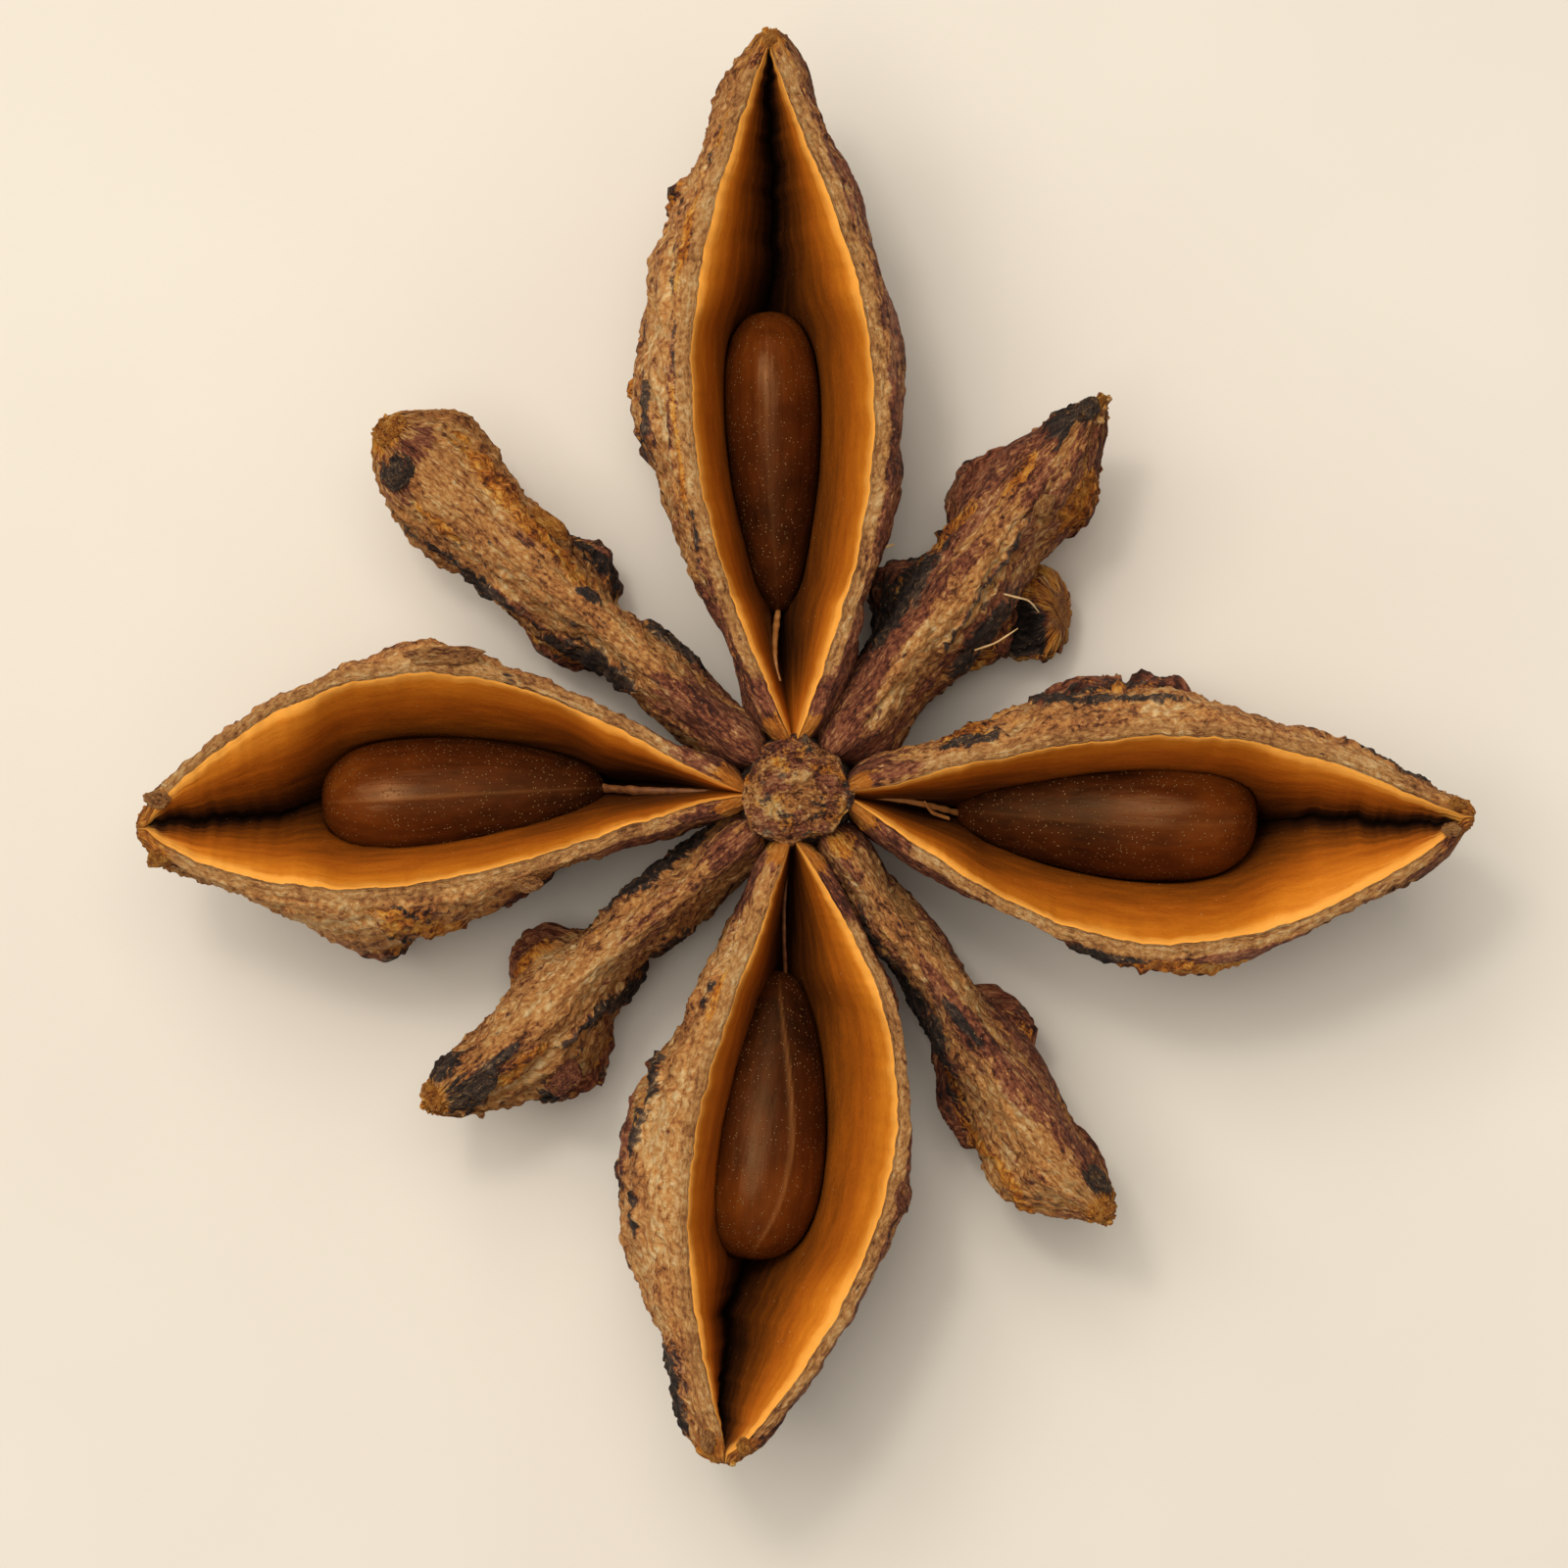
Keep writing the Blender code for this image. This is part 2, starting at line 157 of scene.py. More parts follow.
# A spot of one kind of surface on the upper side: run and width are half its sizes, and lean is
# how many degrees it is turned to the left of "out"
Patch = namedtuple("Patch", "kind out across run width lean", defaults=(0,))
Coal, Cork, Rust, Bare = (partial(Patch, kind) for kind in ("coal", "cork", "rust", "skin"))

# What shows on one carpel over its plain form. cork is how much of the left and of the right flank
# pale cork covers, purple is how far from the column the smooth purple skin reaches, and the
# patches lie one over the other. fold is how deep the split is next to the column, against further
# out. crease is how deep it stays beyond the seed, and where its crease lies across.
Dress = namedtuple("Dress", "cork purple ledges patches fold crease", defaults=(1, (1, 0)))

SPLIT_CARPELS = {
    "e": Carpel("e", -1.8, 18.2,
        Wall(0.3, 1.25, 0.42, 0.3, 1.84, 0.55, 1.05, 0.2),
        Wall(0.4, 0.9, 0.57, 0.12, 3.75, 0.52, 0.82, 0.62),
        -0.2, 7.6, 8.7, 0.7, 0, 0.8, 0.5, -0.1),
    "n": Carpel("n", 92, 20.4,
        Wall(0.3, 1.65, 0.55, 0.3, 2.42, 0.5, 1, 0.4),
        Wall(0.6, 0.55, 0.55, 0.3, 2.47, 0.49, 1.25, 0.6),
        0.1, 7.6, 9.3, -0.4, 0, 1.3, 0.55, 0),
    "w": Carpel("w", 183.2, 17.7,
        Wall(0.3, 1.65, 0.6, 0.2, 1.94, 0.62, 0.7, 0.2),
        Wall(0.35, 0.95, 0.52, 0.13, 3.75, 0.55, 0.72, 0.62),
        -0.1, 7.6, 8.6, 0.6, 0, 0.7, 0.45, 0),
    "s": Carpel("s", 264, 18.1,
        Wall(0.25, 0.7, 0.58, 0.1, 3.65, 0.47, 0.77, 0.62),
        Wall(0.5, 1.75, 0.56, 0.28, 1.75, 0.56, 1.1, 0.2),
        0.1, 7.6, 8.8, -0.6, 0, 0.7, 0.5, 0),
}
SHUT_CARPELS = {
    "ne": Carpel("ne", 53.3, 13.6,
        Wall(0.75, 0.6, 0.68, 0.13), Wall(1, 0.6, 0.48, 0.35),
        -0.1, 7.2, 6.6, 0, 1, 2.6, 0.85, -0.3),
    "nw": Carpel("nw", 139.1, 15.1,
        Wall(0.65, 0.85, 0.8, 0.38), Wall(0.75, 0.95, 0.84, 0.22),
        0.1, 7.2, 6.3, 0, 0.9, 1.9, 0.6, -0.15),
    "sw": Carpel("sw", 219.9, 13.2,
        Wall(0.75, 1.15, 0.72, 0.2), Wall(0.65, 0.25, 0.55, 0.3),
        0.1, 7.2, 6.5, 0, 1, 2.2, 0.6, 0.1),
    "se": Carpel("se", 306.6, 14.4,
        Wall(0.7, 0.2, 0.6, 0.25), Wall(0.6, 1.15, 0.8, 0.2),
        -0.1, 7.2, 6.6, 0, 1.1, 2.3, 0.65, -0.1),
}

# Most are up to 0.3 mm wider on each side, and longer, than the solids'
SEEDS = {
    "e": Seed(4.4, 12.6, -0.37, 2, 2.15, 6.5, -8, 0.25),
    "n": Seed(4.9, 13.1, 0.3, 1.53, 2, 6.8, 6, 0.2),
    "w": Seed(5.2, 12.9, -0.42, 1.84, 2.35, 6.5, 0, 0.4),
    "s": Seed(4.9, 12.8, 0.08, 2, 2.25, 6.5, 28, 1),
}

DRESSES = {
    "e": Dress((0.95, 0.3), 2.6, (
        Ledge(1, 7.7, 58, 1.5, 18, 1.05), Ledge(1, 10.4, 54, 1.6, 15, 0.75),
        Ledge(-1, 11, 52, 1.8, 12, 0.25)), (
        Coal(5.3, 2.2, 1.7, 0.1, 14), Coal(8, 2.75, 2.4, 0.06, 3), Coal(11.8, 2.45, 1.4, 0.05, -6),
        Coal(15.2, 1.65, 2, 0.09, -27), Coal(4.5, 1.45, 1, 0.1, 16), Rust(4.6, 2, 1.4, 0.3, 20),
        Bare(7.3, 3.35, 1.3, 0.32, 4), Rust(9, 3.4, 1.1, 0.3), Cork(11, 3.3, 1.3, 0.3),
        Bare(2.7, 0.8, 0.6, 0.18, 10), Cork(9, 2.3, 4.5, 0.35, 2), Bare(4.4, -2.1, 2.2, 0.35, -28),
        Rust(10.6, -4.45, 2.4, 0.3), Cork(15.3, -2.6, 1.6, 0.25, 30), Coal(8.4, -4.05, 1.4, 0.1, -8),
        Rust(18, 0.1, 0.35, 0.5), Rust(1.7, 0.2, 0.35, 0.25),
        Rust(1.8, -0.7, 0.4, 0.3)), fold=0.6, crease=(0.6, -0.21)),
    "n": Dress((0.8, 0.4), 5.4, (
        Ledge(1, 10.8, 50, 1.5, 14, 0.35), Ledge(1, 16.4, 38, 0.55, 20, 0.4),
        Ledge(-1, 9, 46, 2.2, 16, 0.12)), (
        Bare(4, 1.5, 2.2, 0.5, 17), Bare(4.2, -1.25, 2.2, 0.45, -18), Coal(9.5, 2.6, 3.2, 0.09, 4),
        Coal(12, 3, 2.6, 0.09, -3), Coal(10.4, 3.65, 1.3, 0.22), Rust(14.6, 2.55, 1.7, 0.12, -14),
        Rust(9.4, 2.85, 1.8, 0.1, 4), Rust(16.6, 1.45, 0.6, 0.22, -30), Rust(17.8, 1.35, 0.5, 0.15, -20),
        Coal(17.9, 0.95, 0.9, 0.1, -24), Cork(12.5, 3.3, 3, 0.35, -4), Bare(8.6, -2.75, 2.4, 0.14, -6),
        Coal(17.5, -0.95, 1.8, 0.12, 24), Rust(20.3, 0.1, 0.3, 0.3), Rust(1.7, 0.5, 0.4, 0.3),
        Rust(1.7, -0.35, 0.4, 0.3)), fold=0.35, crease=(0.8, 0.04)),
    "w": Dress((0.85, 0.9), 3, (
        Ledge(1, 11.6, 50, 1.1, 13, 0.45), Ledge(1, 7.8, 58, 1.8, 14, 0.65),
        Ledge(-1, 9.4, 50, 1.1, 12, 0.3)), (
        Rust(11.2, 2.9, 1.6, 0.3), Bare(4.2, 1, 1.9, 0.25, 15), Bare(3.4, -1.45, 1.4, 0.22, -34),
        Bare(6.6, 2.4, 1.4, 0.3, 10), Coal(11.2, 3.15, 0.8, 0.05, -30), Coal(10.2, 2.9, 0.8, 0.05, -35),
        Rust(9.4, 3.4, 1, 0.3, -10), Cork(9.4, -4.2, 1.4, 0.4), Cork(12.4, 2.9, 1.4, 0.5, -20),
        Cork(7.3, 2.55, 0.5, 0.12), Rust(17.4, 0, 0.5, 1.6), Rust(1.8, 0.3, 0.4, 0.25),
        Rust(1.9, -0.6, 0.4, 0.25)), fold=0.4, crease=(0.8, -0.16)),
    "s": Dress((0.35, 0.98), 2.6, (
        Ledge(1, 10.7, 50, 1, 12, 0.35), Ledge(-1, 10.2, 54, 2, 13, 0.45),
        Ledge(-1, 7.6, 58, 0.8, 12, 0.35)), (
        Rust(5.8, -1.5, 1.3, 0.26, -12), Coal(5.7, -1.8, 0.6, 0.07, -12), Coal(6.9, -2.1, 0.7, 0.06, -20),
        Coal(7.9, -3, 0.9, 0.1, -8), Coal(9.6, -3.35, 1, 0.07, -5), Coal(16.3, -1.55, 1.3, 0.28, 14),
        Bare(10.6, -3.85, 1.9, 0.25, -5), Coal(11.8, -3.1, 0.7, 0.05, 8),
        Bare(2.4, -0.95, 1.1, 0.25, -14), Cork(9.5, -2.3, 5, 0.6, -3), Bare(4.4, 1.95, 2.6, 0.25, 27),
        Cork(9.6, 3.85, 2, 0.12), Rust(17.9, 0, 0.45, 1), Rust(1.7, 0.6, 0.5, 0.4),
        Rust(1.5, -0.4, 0.3, 0.25)), fold=0.85, crease=(0.95, -0.37)),
    "ne": Dress((0.25, 0.5), 3, (
        Ledge(1, 6.2, 58, 1.2, 18, 0.95), Ledge(1, 9.4, 44, 1.2, 14, 0.35),
        Ledge(-1, 6.6, 60, 1.2, 16, 0.45), Ledge(-1, 11, 48, 0.9, 16, 0.3)), (
        Bare(3.4, 0.35, 2.6, 0.55), Coal(6.3, 0.85, 2, 0.4, 6), Cork(5.8, -0.6, 3.2, 0.5, -2),
        Coal(6.6, -1.5, 1.3, 0.28), Coal(7, -0.85, 2, 0.06, 2), Rust(10.4, 0.25, 1, 0.2, -8),
        Rust(8.2, 0.85, 1.1, 0.14, -8), Cork(8.6, 0.35, 1.3, 0.13, -6), Coal(12.6, 0.05, 1, 0.45),
        Rust(13.3, -0.25, 0.25, 0.2), Rust(11.2, -1.5, 1.1, 0.3), Cork(11.6, -0.35, 1.3, 0.12, 10),
        Bare(10.4, -0.35, 0.9, 0.25), Bare(9.9, 1.25, 1, 0.3))),
    "nw": Dress((0.88, 0.88), 2.8, (
        Ledge(-1, 8.2, 60, 0.9, 16, 0.75), Ledge(1, 7.6, 60, 1.2, 14, 0.45),
        Ledge(1, 9.5, 26, 0.5, 12, 0.18)), (
        Rust(8.6, -0.6, 1.6, 0.18, -6), Rust(10.6, -0.85, 1.3, 0.24, -8),
        Rust(12.5, -1.15, 0.9, 0.24, -12), Coal(6.6, -1.05, 2.3, 0.2, -3), Coal(6.2, 0.85, 1.4, 0.22, 10),
        Bare(3, 0, 2, 0.8), Bare(13.7, 0.1, 0.6, 1.1, 20), Coal(13.9, 0.5, 0.3, 0.5, 20),
        Rust(12, 0.9, 0.8, 0.14), Cork(12.6, -0.1, 1.2, 0.7), Cork(6.5, -0.3, 2, 0.3),
        Coal(7.7, -0.35, 0.35, 0.14), Coal(10, 1.25, 1.6, 0.1, 4), Rust(14.8, -0.1, 0.4, 0.7))),
    "sw": Dress((0.8, 0.8), 2, (
        Ledge(1, 9.8, 46, 0.9, 15, 0.55), Ledge(1, 8.9, 62, 0.8, 14, 0.6),
        Ledge(-1, 8.3, 60, 1.2, 16, 0.9)), (
        Coal(11.8, 0.55, 0.9, 0.42), Coal(10.6, 0.42, 0.8, 0.16), Coal(12, -0.3, 0.6, 0.22),
        Bare(2.3, 0, 0.8, 0.5), Coal(4, -0.75, 1.7, 0.12), Rust(10.5, 0.95, 0.9, 0.22),
        Coal(10.2, 1.95, 0.6, 0.25), Coal(6.8, 1.15, 2, 0.16, 4), Rust(12.9, 0, 0.3, 0.6))),
    "se": Dress((0.42, 0.68), 2.4, (
        Ledge(1, 8.4, 58, 1.1, 14, 0.65), Ledge(-1, 9.4, 60, 1.3, 14, 0.95)), (
        # The first coal patch here stands for shade on the right flank: painted shade
        Coal(6.2, -0.85, 2.6, 0.25, -3), Coal(7.6, -0.1, 1, 0.12), Cork(5.5, 0.5, 3.2, 0.3, 1),
        Cork(10.9, -0.65, 1.8, 0.55), Bare(8, 1, 4.5, 0.2), Coal(13.2, 0.1, 0.35, 0.16),
        Rust(14.1, 0, 0.35, 0.6), Rust(11.6, -1.7, 1.6, 0.12), Bare(10.2, -0.2, 0.7, 0.12),
        Rust(1.9, 0.2, 0.4, 0.35))),
}

# The stalk's knob, loose grains, camera and lamps
KNOB_FROM = 5.6       # how far along the stalk its knob begins
DENTS = ((6.15, 4.50, 0.50, 0.95), (7.30, 4.85, 0.42, 0.30))   # place, radius and depth
CRUMBS_EACH = 110
CRUMB_SMALLEST = 0.03
CRUMB_SPREAD = 0.07
CAMERA_SHIFT = (-0.316, 0.211)   # where the view is centred, from the column's axis
FIELD = 42.1                     # width seen at the height of the lips
LIPS_UP = 8.0
CAMERA_UP = 220.0
SENSOR = 36.0
LAMPS = (("softbox", 260.0, 0.95, (-70.0, 80.0, 300.0)),    # name, size, power and place
         ("spot", 40.0, 0.16, (-60.0, 90.0, 300.0)))
WARM = (1.0, 0.94, 0.86)

# A rough lump on a carpel's bark: size is half its size out, across and up, and sunk is how far its
# middle lies under the bark's top
Knot = namedtuple("Knot", "carpel out across size sunk kind")

# A dry strand with its path in a carpel's own frame: its tone is 0 for brown and 1 for cream
Thread = namedtuple("Thread", "carpel radius tone path")

KNOTS = (
    Knot("nw", 14.7, -0.2, (0.32, 0.48, 0.36), 0.28, "rust"),
    Knot("sw", 12.85, 0.05, (0.28, 0.42, 0.36), 0.28, "rust"),
    Knot("se", 14.1, -0.05, (0.26, 0.34, 0.3), 0.22, "rust"),
    Knot("se", 13.3, 0.35, (0.45, 0.2, 0.26), 0.14, "coal"),
    Knot("n", 20.1, 0, (0.22, 0.22, 0.24), 0.16, "rust"),
    Knot("e", 17.7, 0.25, (0.24, 0.18, 0.2), 0.1, "rust"),
    Knot("e", 17.6, -0.45, (0.28, 0.2, 0.2), 0.1, "cork"),
    Knot("w", 17.2, 0.85, (0.28, 0.24, 0.22), 0.1, "rust"),
    Knot("w", 17.1, -0.75, (0.34, 0.26, 0.22), 0.1, "cork"),
    Knot("s", 17.6, 0.45, (0.26, 0.2, 0.2), 0.1, "rust"),
    Knot("s", 17.5, -0.5, (0.3, 0.22, 0.2), 0.1, "cork"),
    Knot("s", 10.6, 4, (0.45, 0.22, 0.25), 0.12, "skin"),
    Knot("w", 9.3, -4.15, (1.1, 0.3, 0.28), 0.16, "cork"),
    Knot("w", 7.3, 2.1, (0.4, 0.2, 0.22), 0.1, "cork"),
    Knot("ne", 10.2, -0.75, (0.38, 0.24, 0.26), 0.12, "cork"),
    Knot("ne", 13, -0.15, (0.4, 0.28, 0.28), 0.2, "coal"),
    Knot("nw", 13.7, 0.45, (0.35, 0.5, 0.32), 0.22, "coal"),
    Knot("nw", 9.8, -1.15, (0.6, 0.22, 0.24), 0.12, "rust"),
    Knot("sw", 9.8, 1.9, (0.55, 0.4, 0.3), 0.2, "skin"),
    Knot("sw", 11.6, 0.6, (0.5, 0.32, 0.26), 0.16, "coal"),
)
THREADS = (
    Thread("e", 0.07, 0.3, ((4.5, -0.45, 4.2), (3.6, -0.25, 5.4), (2.8, -0.12, 6), (1.9, -0.08, 6.4))),
    Thread("e", 0.05, 0.35, ((4.2, -0.6, 4.8), (3.7, -0.45, 5.3), (3.5, -0.15, 5.6))),
    Thread("w", 0.12, 0.1, ((5.3, -0.4, 4.2), (4.2, -0.25, 5.4), (3, -0.18, 5.9), (2, -0.1, 6.3))),
    Thread("n", 0.11, 0.4, ((5, 0.3, 4.3), (4.2, 0.42, 5.2), (3.5, 0.45, 6), (3, 0.32, 6.1))),
    Thread("s", 0.06, 0.05, ((5, 0.25, 4.2), (4, 0.1, 5.2), (3, 0, 5.6), (2, 0, 5.9))),
    Thread("ne", 0.03, 0.85, ((7.6, -1.1, 5.6), (7.8, -1.6, 5.3), (8, -2, 4.6), (7.9, -2.4, 4.2))),
    Thread("ne", 0.025, 0.75, ((6, -1.6, 4.9), (6.5, -1.95, 4.6), (7.2, -2.2, 4.5))),
    Thread("n", 0.05, 0.8, ((6.3, -2.1, 6.6), (6.5, -2.5, 6.4), (6.6, -2.9, 6))),
)

# Tones of each kind of surface, from its pits, in painted shade, to its heights, in painted light
SKIN_TONES = ((0.0, "1E0F0A"), (0.3, "52281A"), (0.55, "8C4C32"), (0.8, "B4724A"), (1.0, "D09C6A"))
BARE_TONES = ((0.0, "8A4412"), (0.5, "C87420"), (1.0, "E8A04A"))
CORK_TONES = ((0.0, "2A150C"), (0.2, "6C3E22"), (0.4, "B2713C"), (0.6, "D2914E"), (0.8, "E2AE6C"),
              (1.0, "F2D098"))
COAL_TONES = ((0.0, "14100E"), (0.35, "362A24"), (0.65, "5C483A"), (0.85, "927252"), (1.0, "BC9868"))
RUST_TONES = ((0.0, "3A1A0A"), (0.25, "8A4616"), (0.5, "D07C26"), (0.75, "EAA644"), (1.0, "F4C87C"))
RIM_TONES = ((0.0, "5A341C"), (0.3, "A06838"), (0.6, "CE9454"), (1.0, "ECC68C"))
# The lining's tones run from the open split into painted shade deep in it
LINING_SHADE_TONES = ((0.0, "D88628"), (0.1, "C8741C"), (0.25, "AA5A14"), (0.38, "82440F"), (0.5, "5C2E0C"),
                (0.62, "361A09"), (0.75, "180B05"))
SEED_TONES = ((0.15, "220D04"), (0.45, "441D07"), (0.75, "602D0B"), (1.0, "764010"))
FIBRE_TONES = ((0.0, "5A3014"), (0.4, "A5672C"), (0.8, "D8B27A"), (1.0, "E8D3AA"))
FLOOR_TONES = ((0.3, "D9D2C6"), (0.7, "DED8CC"))

# The column's axis: the two longest carpels end at the box's sides
EAST = SPLIT_CARPELS["e"]
NORTH = SPLIT_CARPELS["n"]
HUB = (
    cad_high[0] / MM - EAST.reach * math.cos(math.radians(EAST.angle)),
    cad_high[1] / MM - NORTH.reach * math.sin(math.radians(NORTH.angle)),
)


# ---- noise

_draw = np.random.default_rng(11)
SLOPES = _draw.normal(size=(LATTICE_SIZE, 3))
SLOPES /= np.linalg.norm(SLOPES, axis=1)[:, None]


def triples(x, y, z):
    """Points (..., 3) from three numbers or arrays."""
    return np.stack(np.broadcast_arrays(x, y, z), axis=-1)


def noise(points):
    """Smooth noise, about -1 to 1, at an array of points (..., 3)."""
    cell = np.floor(points).astype(np.int64)
    offset = points - cell
    fade = offset ** 3 * (offset * (6 * offset - 15) + 10)
    total = np.zeros(points.shape[:-1])
    for corner in np.ndindex(2, 2, 2):
        key = np.bitwise_xor.reduce((cell + corner) * LATTICE_STEPS, axis=-1)
        slope = SLOPES[key & (LATTICE_SIZE - 1)]
        weight = np.prod(np.where(corner, fade, 1 - fade), axis=-1)
        total += weight * np.sum(slope * (offset - corner), axis=-1)
    return 1.7 * total


def layered(points, octaves):
    """Noise with finer noise on top of it."""
    return sum(0.5 ** n * noise(points * 2.03 ** n + 17.3 * n) for n in range(octaves))


def ridged(points):
    """Sharp crests on a smooth ground, about -1 to 1."""
    crests = [1 - np.abs(noise(points * 2.1 ** n + 31.7 * n)) for n in (0, 1)]
    return sum(0.5 ** n * (2 * crest ** 2 - 1) for n, crest in enumerate(crests)) / 1.5


def ease(value):
    """0 below 0, 1 above 1, and a smooth rise between."""
    value = np.clip(value, 0, 1)
    return value * value * (3 - 2 * value)


def terraced(value, steps):
    """A rise in flat steps with steep edges between them."""
    level = np.floor(value * steps)
    return (level + ease((value * steps - level - 0.35) / 0.3)) / steps


def circle(sides):
    return np.linspace(0, 2 * math.pi, sides, endpoint=False)


def bell(distance, width):
    """1 at no distance, and almost 0 at twice the width."""
    return np.exp(-(distance / width) ** 2)


# ---- the carpels' form

def rounded(distance, run):
    left = 1 - np.clip(distance / run, 0, 1)
    return (1 - left * left) ** 0.5


def profile(carpel, out):
    """At each station: its share of the way, the crest, the depth to the keel, the root's fullness."""
    share = (out - ROOT) / (carpel.reach - ROOT)
    crest = carpel.crest_root + (carpel.crest_tip - carpel.crest_root) * share
    drop = (1 - np.minimum(share / LOWEST_AT, 1)) ** 2
    rise = np.maximum((share - LOWEST_AT) / (1 - LOWEST_AT), 0) ** TIP_RISE
    keel = (carpel.lowest + (KEEL_AT_ROOT - carpel.lowest) * drop
            + (crest - TIP_DEPTH - carpel.lowest) * rise)
    return share, crest, crest - keel, np.maximum(rounded(out - ROOT, ROOT_RUN), END_LEFT)


def along_split(carpel, out):
    return np.clip((out - SPLIT_FROM) / (carpel.reach - SPLIT_TO_TIP - SPLIT_FROM), 0, 1)


def opening(wall, carpel, out):
    along = along_split(carpel, out)
    skewed = along ** (math.log(0.5) / math.log(wall.lip_at))
    power = 1 + (wall.lip_full - 1) * along
    return np.maximum(wall.lip * np.maximum(np.sin(math.pi * skewed), 0) ** power, SLIT)


def flank_points(side, lip, bulge, foot, top, depth, turn, slope=0):
    """Points (across, up) of a flank from the lip, turn 0, down to the keel, a quarter turn on."""
    down = np.sin(turn)
    straight = slope * (1 - down) + (1 - slope) * np.cos(turn)
    stand = np.maximum(np.sin(2 * turn), 0)
    stand = stand ** np.where(turn < 0.5 * HALF_PI, SHOULDER, 1)
    return side * (lip * straight + bulge * stand) + foot * down, top - depth * down


def seed_slimness(end):
    full = np.maximum(1 - end * end, 0.001) ** -SEED_FULL
    return full * (1 - SEED_PINCH * 0.5 * (1 - end))


def seed_span(seed, out):
    """Where a plane across the carpel cuts its seed: half width, half height and middle height."""
    half_length = 0.5 * (seed.outer - seed.inner)
    along = np.clip((out - seed.inner) / half_length - 1, -1, 1)
    end = (1 - np.sqrt(1 - 4 * SEED_BLUNT * (along - SEED_BLUNT))) / (2 * SEED_BLUNT)
    size = np.sqrt(np.maximum(1 - end * end, 0)) * seed_slimness(end)
    half_height = 0.5 * (seed.top - seed.bottom)
    return seed.half_width * size, half_height * size, seed.bottom + half_height - SEED_TILT * along


def lining_points(side, edge, foot, top, depth, turn, seed, out):
    """Points (across, up) of the lining from the lip to the floor.

    It rolls over the lip and drops to the floor, but stays clear of the seed.
    """
    down = np.sin(turn)
    up = top - depth * down
    beside = ease((out - seed.inner + 0.3) / 1.2) * ease((seed.outer + 0.6 - out) / 1.4)
    roll = LINING_ROLL + (LINING_BY_SEED - LINING_ROLL) * beside
    plain = edge * (1 - down ** (1 / roll)) + side * foot * down
    half_width, half_height, middle = seed_span(seed, out)
    level = np.abs(up - middle) / np.maximum(half_height, 0.01)
    round_it = np.sqrt(np.maximum(1 - level ** 2, 0))
    clear = side * seed.across + half_width * round_it + SEED_GAP
    clear = clear - 2 * np.maximum(level - 1, 0) - 3 * (1 - ease(half_width / 0.5))
    across = 0.5 * (plain + clear + np.sqrt((plain - clear) ** 2 + SEED_GAP_SOFT ** 2))
    return side * across, up


def waver(out, key, sizes=LIP_WAVER):
    """An uneven line: how far it strays at each place along."""
    return sum(size * noise(triples(out * pitch, key, 0.37 * key)) for pitch, size in sizes)


def ledge_height(carpel, side, out, turn):
    """Lobes with flat tops and ragged edges."""
    total = 0 * out * turn
    ragged = layered(triples(out * 1.6, turn * 9, carpel.angle), 3)
    for ledge in DRESSES[carpel.name].ledges:
        if ledge.side == side:
            along = (out - ledge.out) / ledge.run
            round_it = (np.degrees(turn) - ledge.turn) / ledge.spread
            rough = 0.18 * ragged / max(ledge.height, 0.4)
            total = total + ledge.height * ease(1.35 - np.hypot(along, round_it) + rough)
    return total


def bulges(carpel, wall, side, out, turn):
    """How far a flank stands out at each turn, and how much of that is its ledges."""
    share = profile(carpel, out)[0]
    swell = wall.flank + wall.belly * bell(share - wall.belly_at, wall.belly_run)
    swell = swell + ROOT_SWELL * np.exp(-(out - ROOT) / ROOT_RUN)
    phase = side * carpel.angle + WAVE_SLANT * turn
    wave = WAVE_DEPTH * np.sin(2 * math.pi * out / WAVE_LENGTH + phase)
    lobe = ledge_height(carpel, side, out, turn)
    return swell + wave + lobe, lobe


def stations(carpel, count):
    """Distances from the column, a little closer together at the two ends."""
    share = np.linspace(0, 1, count)[:, None]
    share = share - 0.06 * np.sin(2 * math.pi * share)
    return ROOT + (carpel.reach - ROOT) * share


def arc_from_start(across, up):
    """How far each point of a row is from the row's first point, along the row."""
    steps = np.hypot(np.diff(across, axis=1), np.diff(up, axis=1))
    return np.concatenate([np.zeros((len(steps), 1)), np.cumsum(steps, axis=1)], axis=1)


def narrowed(carpel, out, across, up):
    """Points (out, across, up) with the rows made smaller towards the two ends, as in the solid."""
    share, crest, depth, root = profile(carpel, out)
    tip = rounded(carpel.reach - out, carpel.tip_run) ** (2 * carpel.tip_power)
    tip = np.maximum(tip, END_LEFT)
    middle = crest - 0.5 * np.minimum(depth, TIP_ROUND_DEPTH)
    up = middle + (up - middle) * tip ** 0.7 - ROOT_SINK * (1 - root)
    return triples(out, across * tip + carpel.tip_shift * share ** 3, up)


class Skin:
    """A closed loft with one ring of points for each station.

    The ring holds across and up, and then what the materials need of each point. from_lip is
    the way from the lip along the wall. roll goes round the outside from 0 at the left lip to
    pi at the right one. The painted shade goes from 0 at the lips towards 1 deep in a narrow split. lobe
    is how far a ledge stands out. layer is BARK, RIM (the wall's cut edge) or LINING. laps is 1
    where the bark's pattern closes on itself along the crest. places holds (out, across, up).
    """

    def __init__(self, carpel, out, ring, laps):
        across, up, self.from_lip, self.roll, self.gloom, self.lobe, self.layer = ring
        self.carpel = carpel
        self.laps = laps
        self.places = narrowed(carpel, out, across, up)

    @property
    def out(self):
        return self.places[..., 0]

    def grain(self):
        """Where each point lies in the bark's pattern, which runs along the carpel."""
        turns = 1 + self.laps
        radius = GRAIN_RADIUS / turns
        return triples(self.out, radius * np.cos(turns * self.roll) + 40 + self.carpel.angle,
                       radius * np.sin(turns * self.roll))

    def normals(self):
        """Directions straight out of the surface."""
        along = np.gradient(self.places, axis=0)
        facing = np.cross(np.roll(self.places, -1, axis=1) - np.roll(self.places, 1, axis=1), along)
        return facing / np.maximum(np.linalg.norm(facing, axis=-1, keepdims=True), 1e-9)


